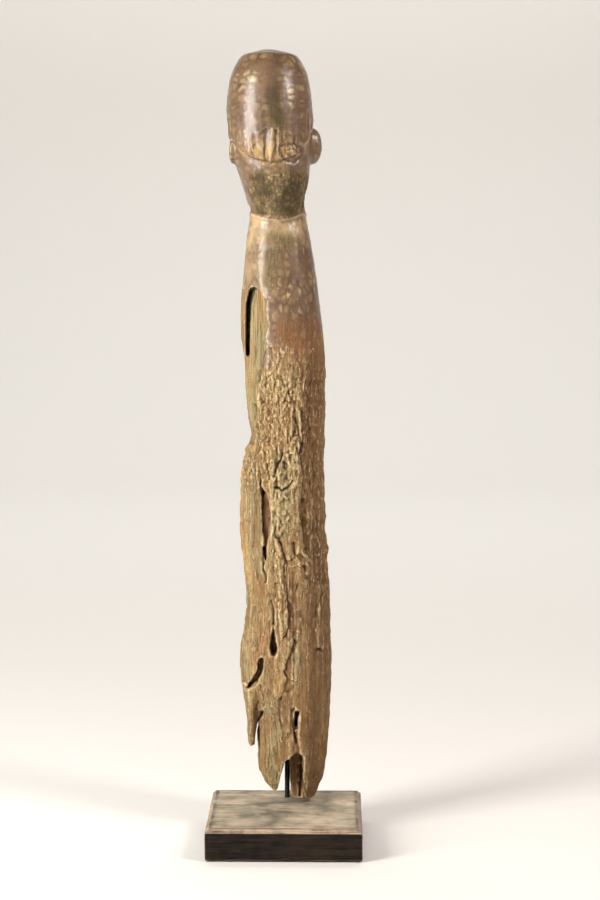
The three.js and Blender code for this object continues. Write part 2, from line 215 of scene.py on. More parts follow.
def crests(places, size, seed):
    """Narrow ridges, 1 on their tops, winding through smooth lumps of that size."""
    return 1 - 2.4 * np.abs(swell(places, size, seed))


def chips(places, size, seed):
    """Splits the surface into uneven chips. Gives, for each place, how near it is to its chip's edge (1 on
    it), a random number for that chip, and how far it is below the chip's middle, in chip heights."""
    cell = places / np.array(size)
    corner = np.floor(cell).astype(np.int64)
    first = np.full(len(places), 9.0)
    second = np.full(len(places), 9.0)
    own = np.zeros(len(places))
    below = np.zeros(len(places))
    for step in itertools.product((-1, 0, 1), repeat=3):
        at = corner + step
        middle = at + np.stack([0.15 + 0.7 * scatter(at, seed + k) for k in range(3)], axis=1)
        away = np.linalg.norm(cell - middle, axis=1)
        nearer = away < first
        second = np.where(nearer, first, np.minimum(second, away))
        own = np.where(nearer, scatter(at, seed + 7), own)
        below = np.where(nearer, middle[:, 2] - cell[:, 2], below)
        first = np.where(nearer, away, first)
    return 1 - np.clip((second - first) / 0.5, 0, 1), own, below


place = numbers(figure.data.vertices, "co", 3) * MM
x, y, z = place.T
middle_y = 40 - 0.03 * z
from_back = fade(10, -3, y - middle_y)

# The split beside the loose slab is deep only along the slab: on its right a broken floor of wood shows.
back_y = middle_y - 37.5 * np.sqrt(np.clip(1 - ((x + 2) / 42) ** 2, 0, 1))
split_floor = (x > -20.6 + 0.4 * np.sin(z / 9)) & (x < -10) & (z > 281) & (z < 356) & (y < middle_y + 8)
place[:, 1] = np.where(split_floor, np.minimum(y, back_y + 7.5), y)
x, y, z = place.T

# The straight cuts between the log's stations are rounded off, most on the head and trunk.
HEAD_X = -15.5
HEAD_Y = 19
HEAD_TURN = 0.24
NECK_TOP = 612
face_y = (y - HEAD_Y) * math.cos(HEAD_TURN) - (x - HEAD_X) * math.sin(HEAD_TURN)
face_x = (x - HEAD_X) * math.cos(HEAD_TURN) + (y - HEAD_Y) * math.sin(HEAD_TURN)
window_area = fade(-50, -44, x) * fade(-8, -12, x) * fade(382, 390, z) * fade(552, 545, z) * from_back
rounded = np.where(z > NECK_TOP, fade(22, 16, face_y), fade(470, 500, z)) * (1 - window_area)
web = web_of(figure)
rounded = even_out(rounded * fade(3.2, 4.2, np.abs(z - 611)), 2.5, web, SKIN)
soft = even_out(place, 8, web, SKIN)
soft = 2 * soft - even_out(soft, 8, web, SKIN)
place = place + rounded[:, None] * (soft - place)
on_face = fade(16, 22, face_y) * fade(613, 616, z)
place = place + on_face[:, None] * (even_out(place, 2.4, web, SKIN) - place)


def wander(size, seed):
    """Three smooth shifts, in x, y and z, for each place on the figure."""
    return np.stack([swell(place, size, seed + k) for k in range(3)], axis=1)


# Broken and worn outlines: the dry wood wanders sideways a little, away from the drilled hole.
loose = wander((9, 9, 14), 61) + 0.6 * wander((4, 4, 7), 64)
free = fade(470, 430, z) * fade(9, 14, np.hypot(x - 1, y - 46))
place = place + 0.85 * loose * (1, 0.4, 0.9) * free[:, None]
move_to(figure, place)
outward = numbers(figure.data.vertex_normals, "vector", 3)
x, y, z = place.T

drift = wander((20, 20, 60), 11)
drift[:, 2] = 2 * swell(place, (16, 16, 30), 10)
ripple = wander((5, 5, 9), 17)
wriggle = wander((3, 3, 4), 41)
spot = (place + 1.3 * ripple + 0.6 * wriggle + 0.8 * drift * (1, 1, 0.5))[:, [0, 2]]
uneven = np.clip(1 + 0.5 * swell(place, (6, 6, 11), 20) + 0.35 * swell(place, (3, 3, 5), 21), 0.1, 2)


def trace(points, reach, shown):
    """For the places within reach of a line of [x, z] points drawn where shown is above 0: their numbers,
    their distance from it, their side of it (1 for its left) and how far past its ends they are."""
    line = np.array(points * 2 if len(points) == 1 else points, float)
    low = line.min(axis=0) - reach
    high = line.max(axis=0) + reach
    which = np.flatnonzero(((spot > low) & (spot < high)).all(axis=1) & (shown > 0))
    here = spot[which]
    away = np.full(len(which), 1e9)
    side = np.zeros(len(which))
    past = np.zeros(len(which))
    for start, end in zip(line, line[1:]):
        along = end - start
        length = max(math.hypot(*along), 1e-6)
        share = (here - start) @ along / length
        off = here - start - np.clip(share, 0, length)[:, None] * along / length
        closer = np.linalg.norm(off, axis=1) < away
        away = np.where(closer, np.linalg.norm(off, axis=1), away)
        side = np.where(closer, np.sign(along[0] * off[:, 1] - along[1] * off[:, 0]), side)
        past = np.where(closer, np.maximum(np.maximum(-share, share - length), 0), past)
    return which, away, side, past


def near(points, width, shown=from_back):
    """1 along a line drawn on the back, falling to 0 a little past width from it."""
    found = np.zeros(len(place))
    which, away, _, _ = trace(points, 3 * width + 2, shown)
    found[which] = np.exp(-((away / width) ** 2)) * shown[which]
    return found


def strokes(*each, shown=from_back):
    """Several lines laid over one another, each given as its strength, its points and its width."""
    return sum(strength * near(points, width, shown) for strength, points, width in each)


def ledge(points, drop, reach, lip=0.5):
    """The broken edge of a layer, along a line drawn on the back. Going along it, the layer is on the right
    hand and stands proud by lip. On the left hand it has gone, and the wood there lies drop lower, coming
    back level over reach."""
    found = np.zeros(len(place))
    which, away, side, past = trace(points, 3 * reach + 4, from_back)
    step = np.where(side < 0, 0.7 * lip * np.exp(-away / 6), -drop * np.exp(-((away / reach) ** 1.5)))
    found[which] = step * np.exp(-((past / 4) ** 2)) * fade(0, 1.8, away) * from_back[which] * uneven[which]
    return found


def inside(points, soft=2.0):
    """1 inside an outline drawn on the back, falling to 0 across its edge."""
    line = np.array([*points, points[0]], float)
    which, away, _, _ = trace([*points, points[0]], 3 * soft, from_back)
    low, high = line.min(axis=0), line.max(axis=0)
    nearest = np.full(len(place), 1e9)
    nearest[which] = away
    within = np.zeros(len(place), bool)
    for start, end in zip(line, line[1:]):
        along = end - start
        crosses = (start[1] > spot[:, 1]) != (end[1] > spot[:, 1])
        at = start[0] + (spot[:, 1] - start[1]) * along[0] / (along[1] if along[1] else 1e-9)
        within ^= crosses & (spot[:, 0] < at)
    return fade(-soft, soft, np.where(within, nearest, -nearest)) * from_back


# Where the surface is cap, nape, window and dry wood.
cap_edge = 655.5 + (y + 23)
above_rim = z - cap_edge
nape_foot = 611 - 6.5 * np.clip(1 - ((x + 8) / 25) ** 2, 0, 1) * from_back
on_head = fade(nape_foot, nape_foot + 2.5, z)
back_of_head = on_head * fade(34, 14, face_y)
strip = inside([(-46, 470), (-44, 535), (-33, 545), (-24, 543), (-18, 530), (-16, 507), (-19, 480),
    (-25, 440), (-27, 400), (-30, 384), (-46, 388)], 0.8)
back_y = middle_y - 37.5 * np.sqrt(np.clip(1 - ((x + 2) / 42) ** 2, 0, 1))
sunk_skin = fade(0.8, 3, y - back_y)
floor_wall = (fade(middle_y + 12, middle_y + 6, y) * fade(-21.5, -20, x) * fade(-9, -12, x)
    * fade(278, 284, z) * fade(360, 352, z) * fade(3, 5, y - back_y))
window = strip * sunk_skin
patchy = 14 * swell(place, (22, 22, 26), 3) + 8 * swell(place, (7, 7, 12), 4) + 5 * swell(place, (3, 3, 7), 5)
dry = fade(500, 452, z + patchy - 10 * fade(8, 30, x) * from_back)
dry = np.maximum(dry, window)

# The right-hand part of the back has lost its outer layer; it lies lower and is redder.
right_edge = [(20, 452), (17, 436), (16, 415), (16, 395), (15, 378), (17, 362), (15, 341), (12, 328),
    (15, 314), (17, 300), (18, 288), (23, 279), (26, 266), (27, 255)]
tongue_edge = [(-8, 300), (-5, 292), (-2, 281), (1, 274), (0, 258), (1, 240), (2, 225), (1, 212), (-2, 205)]
plateau_edge = [(8, 198), (4, 187), (0, 177), (-4, 168), (0, 162), (-2, 152), (-6, 141), (-8, 131),
    (-7, 118), (-4, 104)]
flap_edge = [(36, 240), (32, 230), (31, 214), (32, 200), (33, 189)]
ledges = [
    (right_edge, 2.6, 14, 0.9),
    (tongue_edge, 2.8, 10, 0.9),
    (plateau_edge, 2.4, 9, 0.9),
    (flap_edge[::-1], 1.6, 6, 1.0),
    ([(26, 478), (17, 460), (8, 449), (1, 441), (-3, 433)], 1.2, 5, 0.7),
    ([(2, 441), (7, 430), (10, 412), (13, 396), (15, 384)], 1.7, 4, 0.3),
    ([(-1, 424), (-5, 412), (-9, 398)], 1.2, 4, 0.7),
    ([(14, 425), (17, 408), (16, 392)], 1.3, 4, 0.6),
    ([(-14, 470), (-12, 452), (-14, 436)], 0.9, 4, 0.5),
    ([(-6, 478), (-5, 462), (-8, 448)], 0.9, 4, 0.5),
    ([(7, 281), (14, 285), (21, 281), (26, 272), (27, 258)][::-1], 1.8, 5, 1.0),
    ([(12, 279), (15, 271), (12, 262), (10, 252)], 1.2, 4, 0.6),
    ([(-11, 306), (-13, 290), (-12, 272)], 1.0, 5, 0.4),
    ([(9, 128), (12, 112), (13, 98), (17, 84), (18, 66), (20, 50)][::-1], 1.9, 5, 0.7),
    ([(28, 326), (31, 306), (34, 286), (33, 258)], 1.6, 5, 0.3),
    ([(21, 440), (23, 420), (22, 402)], 1.2, 5, 0.3),
    ([(24, 392), (26, 372), (24, 352), (26, 334)], 1.3, 5, 0.3),
    ([(-36, 352), (-34, 330), (-37, 306)], 0.8, 4, 0.3),
    ([(-31, 345), (-30, 318), (-32, 292)], 1.1, 3, 0.2),
    ([(-20, 148), (-22, 120), (-19, 96)], 0.9, 6, 0.3),
    ([(-12, 122), (-10, 96), (-13, 72)], 0.8, 6, 0.3),
    ([(26, 186), (25, 150), (28, 116), (26, 84)], 0.9, 7, 0.3),
    ([(-32, 228), (-33, 208), (-30, 190)], 0.8, 5, 0.3),
]
layers = sum(ledge(*each) for each in ledges)
grooves = [
    ([(12, 386), (15, 372)], 1.8, 1.6),
    ([(4, 384), (-3, 380), (-8, 373), (-11, 362)], 1.7, 2.6),
    ([(2, 372), (-1, 358)], 7.0, 2.4),
    ([(-9, 350), (-4, 347), (3, 350), (7, 356)], 1.6, 2.2),
    ([(-5, 296), (-3, 286), (0, 277), (0, 262)], 1.5, 2.2),
    ([(9, 294), (10, 284)], 1.6, 3.2),
    ([(19, 272), (21, 262)], 1.8, 2.0),
    ([(20, 345), (18, 326), (20, 306), (21, 290)], 2.6, 1.8),
    ([(34, 279), (33, 257)], 1.4, 2.0),
    ([(34, 188)], 2.4, 3.2),
    ([(-18, 346), (-16, 330), (-15, 314), (-18, 300)], 2.2, 1.6),
    ([(-21, 290), (-21, 274), (-20, 256)], 1.3, 4.0),
    ([(-14, 238), (-12, 214)], 1.5, 2.4),
    ([(-1, 205)], 2.2, 2.6),
    ([(6, 154), (3, 149)], 2.8, 2.2),
    ([(-23, 153), (-21, 140), (-22, 133)], 1.6, 2.2),
    ([(-38, 150), (-27, 157)], 1.4, 1.8),
    ([(12, 126), (11, 112), (11, 98)], 1.6, 2.4),
    ([(14, 70), (15, 40)], 1.8, 2.6),
    ([(-24, 462), (-25, 452)], 1.6, 1.6),
    ([(-29, 428), (-28, 406)], 1.6, 2.2),
    ([(9, 418), (12, 400)], 1.2, 1.4),
    ([(-17, 372), (-16, 358)], 1.4, 1.4),
]
cut_in = sum(depth * near(line, width) for line, width, depth in grooves)
humps = [
    ([(-17, 352), (-14, 341), (-7, 337), (0, 341)], 3.0, 1.6),
    ([(11, 380), (13, 366), (11, 352)], 2.6, 1.5),
    ([(-14, 388), (-15, 372), (-13, 358)], 3.6, 1.3),
    ([(-4, 330), (-4, 308)], 8.0, 0.8),
    ([(-15, 268), (-14, 240)], 4.0, 1.0),
    ([(-6, 250), (-4, 222)], 4.0, 1.4),
    ([(-7, 190), (-8, 160), (-12, 134)], 4.5, 1.2),
    ([(15, 122), (14, 104)], 2.0, 1.4),
    ([(-14, 100), (-16, 60)], 8.0, 0.9),
]
built_up = sum(height * near(line, width) for line, width, height in humps)

# The long grain, and the fibres and flakes that rot has left standing, roughest above the hollow knot.
warped = place + 2.2 * drift * (1, 1, 0) + 0.7 * ripple
gullies = crests(warped, (9, 9, 110), 13)
lanes = crests(warped, (4.2, 4.2, 34), 14)
fibres = crests(warped, (2.6, 2.6, 9), 15)
flake_edge, flake_tone, flake_below = chips(warped + 0.6 * wriggle, (4.2, 4.2, 8.5), 16)
grit_edge, grit_tone, _ = chips(place + 0.8 * ripple, (2.9, 2.9, 4.6), 26)
coarse = fade(336, 366, z) * fade(24, 12, x + 3 * ripple[:, 0])
coarse = np.maximum(coarse, 0.75 * inside([(-14, 300), (-6, 296), (0, 270), (1, 215), (-6, 212),
    (-12, 250)], 3))
coarse = np.maximum(coarse, 0.6 * inside([(-14, 345), (12, 345), (14, 300), (-12, 300)], 4))
coarse = np.maximum(coarse, fade(0.0, 0.5, swell(place, (34, 34, 60), 27)) * fade(180, 300, z)
    * (1 - from_back))
plate_edge, plate_tone, _ = chips(place + 5 * drift + 2 * ripple, (26, 26, 100), 71)
shakes = fade(0.7, 1.0, crests(place + 4 * drift + ripple, (15, 15, 190), 72))
coarse = np.maximum(coarse, 0.3 * fade(12, 20, x) * fade(480, 440, z) * fade(230, 280, z) * from_back)
calm = fade(210, 150, z)
relief = 0.75 * gullies + (0.34 - 0.12 * calm) * lanes
relief += (0.26 + 0.26 * coarse - 0.1 * calm) * fibres
relief += (0.25 + 0.65 * coarse) * ((flake_tone - 0.5) * 0.9 + 0.5 * flake_below - 0.3 * flake_edge ** 2)
relief += (0.35 + 1.0 * coarse - 0.15 * calm) * (
    swell(warped, (3.0, 3.0, 6.5), 35) + 0.7 * swell(place, (1.9, 1.9, 3.2), 36))
relief += (0.1 + 0.25 * coarse) * (grit_tone - 0.5 - 0.3 * grit_edge)
relief += (1 - from_back) * (1.8 * (plate_tone - 0.5) - 0.15 * plate_edge ** 3)
relief -= (0.5 + 1.5 * (1 - from_back)) * shakes * uneven
relief = np.where(window > 0.4, 0.3 * gullies + 0.22 * lanes + 0.12 * fibres, relief)

# Tool cuts on the handled surfaces: short wide ones across the crown, rounder ones down the trunk.
crown_cut = chips(place + 1.8 * ripple, (11, 11, 6.5), 22)
trunk_cut = chips(place + 2.2 * ripple, (6.5, 6.5, 8.5), 24)
cut_edge, cut_tone = (
    np.where(z > NECK_TOP, crown, trunk) for crown, trunk in zip(crown_cut[:2], trunk_cut[:2]))
handled = (-0.26 * cut_edge + 0.12 * (cut_tone - 0.5) + 0.45 * swell(place, (34, 34, 50), 25)
    + 0.12 * swell(place, (7, 7, 9), 28))
face = on_head * fade(18, 28, face_y)
handled *= 1 - 0.75 * face

lift = dry * relief * 0.95 + (1 - dry) * handled
lift += (layers - cut_in * uneven + built_up * uneven) * fade(505, 470, z)
chip_lines = (
    ([(-17, 532), (-9, 533), (-2, 530), (5, 532), (11, 530)][::-1], 0.75, 5, 0.5),
    ([(-5, 541), (2, 540), (9, 542)][::-1], 0.5, 4, 0.3),
    ([(-13, 520), (-4, 518)][::-1], 0.4, 3, 0.2),
)
lift += sum(ledge(*each) for each in chip_lines)

# The cap's rim, the ridge, cracks and knot low on the cap, and the rough nape between it and the neck.
above_rim = above_rim + 1.2 * ripple[:, 2]
rim = np.where(above_rim > 0, 1.0 * np.exp(-((above_rim - 4) / 6) ** 2), -1.3 * np.exp(above_rim / 9))
lift += rim * back_of_head * fade(0, 1.8, np.abs(above_rim)) * fade(612, 622, z)
lift += 1.5 * near([(-11, 691), (-12, 678), (-14, 661)], 1.6)
lift -= 1.9 * near([(-17, 689), (-18, 674), (-18, 663)], 2.0)
lift -= 1.5 * near([(-8, 690), (-9, 676), (-9, 664)], 1.6)
lift -= 1.0 * near([(-2, 692), (-2, 680)], 1.4)
lift -= 0.8 * near([(-27, 676), (-22, 668)], 1.4)
knot_ring = near([(-4, 676), (-3, 667), (2, 661), (9, 660), (15, 665), (15, 674), (6, 678), (-4, 676)], 1.5)
knot_inner = near([(1, 672), (2, 667), (8, 665), (12, 669), (9, 673), (1, 672)], 0.9)
lift -= 0.95 * knot_ring + 0.5 * knot_inner
low_cap = back_of_head * fade(0, 2, above_rim) * fade(34, 22, above_rim)
lift += low_cap * (0.45 * crests(warped, (4, 4, 26), 34) + 0.25 * fibres)
lift += on_head * (2.6 * np.exp(-((z - 760) / 5) ** 2) + 0.8 * np.exp(-((z - 748) / 9) ** 2))
lift += 0.8 * near([(4, 670), (10, 669)], 3.2)
nape = back_of_head * inside([(-33, 650), (-22, 651), (-8, 651), (6, 651), (20, 649), (23, 636), (20, 620),
    (8, 607), (-10, 605), (-26, 612), (-34, 632)], 3.5)
nape_edge, nape_tone, _ = chips(warped, (6, 6, 6), 29)
lift += nape * (0.7 * (nape_tone - 0.5) - 0.4 * nape_edge + 0.3 * fibres)
lift += 1.6 * from_back * fade(nape_foot - 1.6, nape_foot + 1.6, z) * fade(615, 609, z)


# The arms lie along the trunk's front, with the hands on the belly: the trunk is cut back beside them.
CHEST_X = -3
from_front = fade(4, 14, y - middle_y)
for side in (-1, 1):
    upper_arm = [(-4 + 17 * side, 590), (-2 + 27 * side, 530), (28 * side, 480)]
    inner_line = [(-4 + 10 * side, 592), (-2 + 19 * side, 530), (20 * side, 492), (11 * side, 499),
        (3 * side, 500)]
    cuts = [(1.1, upper_arm, 5.5), (-1.5, inner_line, 1.7)]
    for step in range(3):
        knuckle = side * (4 + 3 * step)
        cuts.append((-0.7, [(knuckle, 484 + 0.5 * step), (knuckle + 2 * side, 494 + 0.5 * step)], 0.8))
    moved = [
        (strength, [(CHEST_X + right, up) for right, up in points], width)
        for strength, points, width in cuts
    ]
    lift += strokes(*moved, shown=from_front)

# The face: calm and even, with closed lids, a lid crease, a parted mouth and nostrils, all cut softly.
EYE_OUT = 14
EYE_HALF = 9.5
LID_SLIT = 688.4
LID_CREASE = 692.2
MOUTH = 644.6
NOSTRIL = 658.6
lid_share = np.clip(1 - ((np.abs(face_x) - EYE_OUT) / EYE_HALF) ** 2, 0, 1)
on_eye = face * fade(0, 0.25, lid_share)
lift -= 0.9 * on_eye * np.exp(-(((z - LID_SLIT + 1.8 * lid_share) / 0.9) ** 2))
lift -= 0.55 * on_eye * np.exp(-(((z - LID_CREASE - 3.4 * lid_share) / 0.9) ** 2))
lift += 0.3 * on_eye * np.exp(-(((z - 690.5) / 2.6) ** 2))
mouth_curve = (z - MOUTH - 0.6 * np.cos(face_x / 3)) / 0.9
lift -= 0.7 * face * np.exp(-(mouth_curve ** 2)) * fade(12.5, 10, np.abs(face_x))
lift -= 0.9 * face * np.exp(-(((np.abs(face_x) - 3.2) / 1.3) ** 2) - ((z - NOSTRIL) / 1.5) ** 2)
lift -= 0.45 * face * np.exp(-((face_x / 1.6) ** 2) - ((z - 653) / 3.2) ** 2)

place = place + outward * lift[:, None]
move_to(figure, place)
outward = numbers(figure.data.vertex_normals, "vector", 3)
dip_small = np.einsum("ij,ij->i", even_out(place, 1.6, web, SKIN) - place, outward)
dip_wide = np.einsum("ij,ij->i", even_out(place, 4.5, web, SKIN) - place, outward)


def keep(piece, name, values):
    """Stores one number for each point of a piece, for its material to read."""
    store = piece.data.attributes.new(name, "FLOAT", "POINT")
    store.data.foreach_set("value", np.asarray(values, np.float32))


for measured in (dip_small, dip_wide):
    for share in (dry > 0.5, dry <= 0.5):
        measured[share] /= max(np.std(measured[share]), 1e-6)
lost = np.clip(-layers / 2.0, 0, 1)
# The right side, turned away from the key light, is painted darker and redder: partly its own redder wood,
# partly painted shade.
right_side = fade(10, 24, x + 4 * ripple[:, 0]) * fade(500, 440, z) * fade(60, 20, y)
stain_and_rim_shadow = strokes(
    (1.5, [(-11, 722), (-9, 712), (-8, 702)], 6),
    (0.7, [(-6, 738), (-8, 728)], 6),
    (0.6, [(-3, 700), (-2, 694)], 4),
    (0.9, [(9, 636), (8, 624)], 8),
    (0.4, [(-17, 689), (-18, 672), (-17, 662)], 2.4),
    (0.5, [(-12, 590), (2, 586)], 6),
    (0.4, [(-13, 572), (-13, 552)], 7),
    (0.3, [(5, 566), (6, 550)], 7),
    (0.45, [(-10, 527), (10, 525)], 5),
)
stain_and_rim_shadow += 0.35 * on_head * (1 - back_of_head) * fade(0.2, 0.6, swell(place, (7, 7, 7), 37))
stain_and_rim_shadow += 0.9 * nape * fade(-0.35, 0.45, swell(place + 3 * ripple, (8, 8, 9), 31))
stain_and_rim_shadow += 0.8 * nape * fade(-0.1, 0.35, swell(place + 2 * ripple, (2.6, 2.6, 4.5), 32))
# The thin dark line just under the cap's rim is a painted shadow of the rim.
stain_and_rim_shadow += 0.4 * knot_ring + 0.3 * knot_inner + 0.12 * back_of_head * np.exp(-((above_rim + 1) / 1.2) ** 2)
broken = fade(-0.35, 0.3, swell(place, (4, 4, 11), 73))
aside = (1 - from_back) * fade(500, 440, z)
redder_and_right_shade = strokes(
    (0.9, [(5, 424), (9, 410), (14, 386)], 2.6),
    (1.0, [(-4, 292), (0, 276), (1, 258)], 3),
    (0.7, [(6, 190), (3, 165), (0, 140), (-4, 118)], 5),
)
redder_and_right_shade += 0.8 * aside * fade(0.0, 0.5, swell(warped, (18, 18, 90), 74)) + 0.75 * right_side + 0.5 * lost
redder_and_right_shade += 0.9 * inside([(-9, 508), (36, 512), (38, 440), (16, 445), (4, 478), (-8, 482)], 9)
redder_and_right_shade += 0.8 * inside([(1, 255), (13, 262), (15, 205), (3, 200)], 4)
redder_and_right_shade += near([(4, 78), (8, 50), (12, 38)], 10) * fade(18, 24, y)
orange = strokes(
    (1.0, [(-44, 348), (-43, 300)], 2.0),
    (0.8, [(-39, 286), (-37, 262)], 2.4),
    (1.0, [(-30, 388), (-38, 380), (-43, 362)], 1.6),
    (0.9, [(-27, 544), (-20, 531)], 1.2),
    (0.8, [(24, 42), (26, 50)], 4),
    (0.9, [(-23, 465), (-26, 430)], 1.1),
    (0.7, [(-5, 160), (-4, 150)], 2.0),
    (0.7, [(25, 277), (27, 264)], 1.2),
    (1.0, [(-30, 160), (-33, 155)], 2),
    (0.8, [(-17, 300), (-16, 290)], 1.2),
    (0.6, [(12, 378)], 2),
    (0.8, [(-53, 500), (-50, 482)], 1.6),
)
orange = np.clip(orange, 0, 1) * broken * fade(4, -4, y - middle_y)
green = strokes(
    (0.7, [(-20, 175), (-18, 130)], 5),
    (0.6, [(-9, 706), (-4, 690)], 8),
    (0.7, [(-12, 590), (2, 586)], 9),
    (0.6, [(-13, 570), (-12, 545)], 8),
    (0.4, [(-30, 225), (-28, 205)], 5),
)
green += 0.8 * aside * fade(0.05, 0.5, swell(warped, (22, 22, 80), 75)) + 0.6 * window + 0.8 * nape
green += 0.9 * inside([(-38, 378), (-27, 382), (-22, 300), (-20, 262), (-30, 262), (-36, 300)], 3)
green += 0.6 * inside([(-12, 380), (14, 380), (16, 300), (-12, 300)], 6)
gold = back_of_head * fade(30, 12, above_rim) * fade(-0.5, 1.0, above_rim) * fade(30, 18, np.abs(face_x + 6))
gold = np.clip(gold + back_of_head * np.exp(-((above_rim + 4.5) / 2.0) ** 2), 0, 1)
pale = np.clip(fade(575, 600, z) * (1 - on_head) * fade(34, 8, x)
    + 0.6 * fade(520, 560, z) * fade(-12, -24, x) * (z < NECK_TOP), 0, 1)
# The lower wood is painted darker and browner towards the bottom: painted shade, where the light falls off.
low_shade = 0.1 + 0.2 * fade(300, 200, z) + 0.6 * fade(190, 90, z) + 0.4 * fade(70, 40, z)
brown = (fade(-0.1, 0.5, swell(warped, (12, 12, 40), 38))
    + 0.7 * fade(0.0, 0.45, swell(warped, (6, 6, 13), 39)) * fade(330, 380, z))
hue = swell(warped, (13, 13, 60), 76) + 0.6 * swell(place, (5, 5, 18), 77)
ovals = (fade(-0.7, 0.0, swell(place, (26, 26, 34), 33)) * np.where(z > NECK_TOP, fade(695, 725, z), 1)
    * (1 - 0.7 * face))
ovals = np.maximum(ovals, fade(726, 742, z))
for name, values in (
    ("dry", dry), ("dip", dip_small), ("sink", dip_wide), ("seam", cut_edge), ("tone", cut_tone),
    ("ovals", ovals), ("stain_and_rim_shadow", np.clip(stain_and_rim_shadow, 0, 1)), ("red_and_right_shade", np.clip(redder_and_right_shade, 0, 1)), ("orange", orange),
    ("green", np.clip(green, 0, 1)), ("gold", gold), ("pale", pale), ("hue", hue),
    ("low_shade", np.clip(low_shade, 0, 1)), ("split", floor_wall), ("brown", np.clip(brown, 0, 1)),
):
    keep(figure, name, values)
triangles = 2 * len(figure.data.polygons)
if triangles > MOST_TRIANGLES:
    finish_with(figure, "DECIMATE", ratio=MOST_TRIANGLES / triangles)


def add_node(tree, kind, inputs=None, **settings):
    made = tree.nodes.new(kind)
    for name, value in settings.items():
        setattr(made, name, value)
    for name, value in (inputs or {}).items():
        if isinstance(value, bpy.types.NodeSocket):
            tree.links.new(value, made.inputs[name])
        else:
            made.inputs[name].default_value = value
    return made


def blend(tree, share, first, second, way="MIX"):
    """Mixes two colours; share is 0 for the first and 1 for the second."""
    made = tree.nodes.new("ShaderNodeMix")
    made.data_type = "RGBA"
    made.blend_type = way
    for socket, value in ((made.inputs[0], share), (made.inputs[6], first), (made.inputs[7], second)):
        if isinstance(value, bpy.types.NodeSocket):
            tree.links.new(value, socket)
        else:
            socket.default_value = value if socket == made.inputs[0] else (*value, 1)
    return made.outputs[2]


def layered(tree, base, *coats):
    """Lays coats over a base colour, each given as its share and its colour."""
    for share, colour in coats:
        base = blend(tree, share, base, colour)
    return base


def combine(tree, way, first, second=0.5, third=0.5, clamp=False):
    made = tree.nodes.new("ShaderNodeMath")
    made.operation = way
    made.use_clamp = clamp
    for socket, value in zip(made.inputs, (first, second, third)):
        if isinstance(value, bpy.types.NodeSocket):
            tree.links.new(value, socket)
        else:
            socket.default_value = value
    return made.outputs[0]


def times(tree, first, second):
    return combine(tree, "MULTIPLY", first, second)


def plus(tree, first, second, clamp=False):
    return combine(tree, "ADD", first, second, clamp=clamp)


def spread(tree, value, low, high, first=0.0, second=1.0):
    """Maps low..high to first..second, without going past them."""
    return add_node(tree, "ShaderNodeMapRange", {"Value": value, "From Min": low, "From Max": high,
                                                 "To Min": first, "To Max": second}).outputs[0]


def noise(tree, where, scale, detail, roughness, waver=0.0):
    """The value of a noise texture; waver distorts it."""
    return add_node(tree, "ShaderNodeTexNoise", {"Vector": where, "Scale": scale, "Detail": detail,
                                                 "Roughness": roughness, "Distortion": waver}).outputs["Fac"]


def new_group(name, inputs, outputs):
    """An empty shader node group with named value inputs and outputs."""
    group = bpy.data.node_groups.new(name, "ShaderNodeTree")
    for socket, start in inputs.items():
        group.interface.new_socket(socket, in_out="INPUT",
            socket_type="NodeSocketFloat").default_value = start
    for socket in outputs:
        group.interface.new_socket(socket, in_out="OUTPUT", socket_type="NodeSocketFloat")
    return group, group.nodes.new("NodeGroupInput"), group.nodes.new("NodeGroupOutput")


def stretched(tree, where, across, along, by=1.0):
    """Object coordinates scaled for a pattern that runs along the piece's height."""
    scale = add_node(tree, "ShaderNodeCombineXYZ", {"X": across, "Y": across, "Z": along})
    made = add_node(tree, "ShaderNodeVectorMath", operation="MULTIPLY")
    tree.links.new(where, made.inputs[0])
    tree.links.new(scale.outputs[0], made.inputs[1])
    if by == 1.0:
        return made.outputs[0]
    smaller = add_node(tree, "ShaderNodeVectorMath", {"Scale": by}, operation="SCALE")
    tree.links.new(made.outputs[0], smaller.inputs[0])
    return smaller.outputs[0]


# Wood grain along a piece's height: fine fibres, broad streaks, soft clouds, hair cracks and grit.
grain_group, given, result = new_group(
    "grain", {"Across": 900.0, "Along": 40.0, "Waver": 0.6}, ("Fibre", "Streak", "Cloud", "Crack", "Grit"))
where = add_node(grain_group, "ShaderNodeTexCoord").outputs["Object"]
across, along, waver = (given.outputs[name] for name in ("Across", "Along", "Waver"))
fibre = noise(grain_group, stretched(grain_group, where, across, along), 1.0, 6.0, 0.62, waver)
streak = noise(grain_group, stretched(grain_group, where, across, along, 0.22), 1.0, 4.0, 0.55, waver)
cloud = noise(grain_group, where, 85.0, 5.0, 0.6)
grit = noise(grain_group, where, 620.0, 4.0, 0.7)
crack = noise(grain_group, stretched(grain_group, where, across, along, 0.36), 1.0, 5.0, 0.6, 1.2)
crack_line = combine(grain_group, "ABSOLUTE", combine(grain_group, "SUBTRACT", crack, 0.5))
for made, name in ((fibre, "Fibre"), (streak, "Streak"), (cloud, "Cloud"), (grit, "Grit")):
    grain_group.links.new(made, result.inputs[name])
grain_group.links.new(spread(grain_group, crack_line, 0.0, 0.03, 1, 0), result.inputs["Crack"])


def new_material(name):
    material = bpy.data.materials.new(name)
    material.use_nodes = True
    return material, material.node_tree, material.node_tree.nodes["Principled BSDF"]


def stored(tree, name):
    return add_node(tree, "ShaderNodeAttribute", attribute_name=name).outputs["Fac"]


old_wood, tree, surface = new_material("old_wood")
grain = add_node(tree, "ShaderNodeGroup", {"Across": 850.0, "Along": 45.0}, node_tree=grain_group)
fibre, streak, cloud, crack, grit = (
    grain.outputs[name] for name in ("Fibre", "Streak", "Cloud", "Crack", "Grit")
)
dry_share = spread(tree, plus(tree, stored(tree, "dry"), times(tree, cloud, 0.5)), 0.5, 0.95)
red_and_right_shade, stain_and_rim_shadow, green, gold = (stored(tree, name) for name in ("red_and_right_shade", "stain_and_rim_shadow", "green", "gold"))

heights = plus(tree, times(tree, fibre, 0.55), times(tree, grit, 0.45))

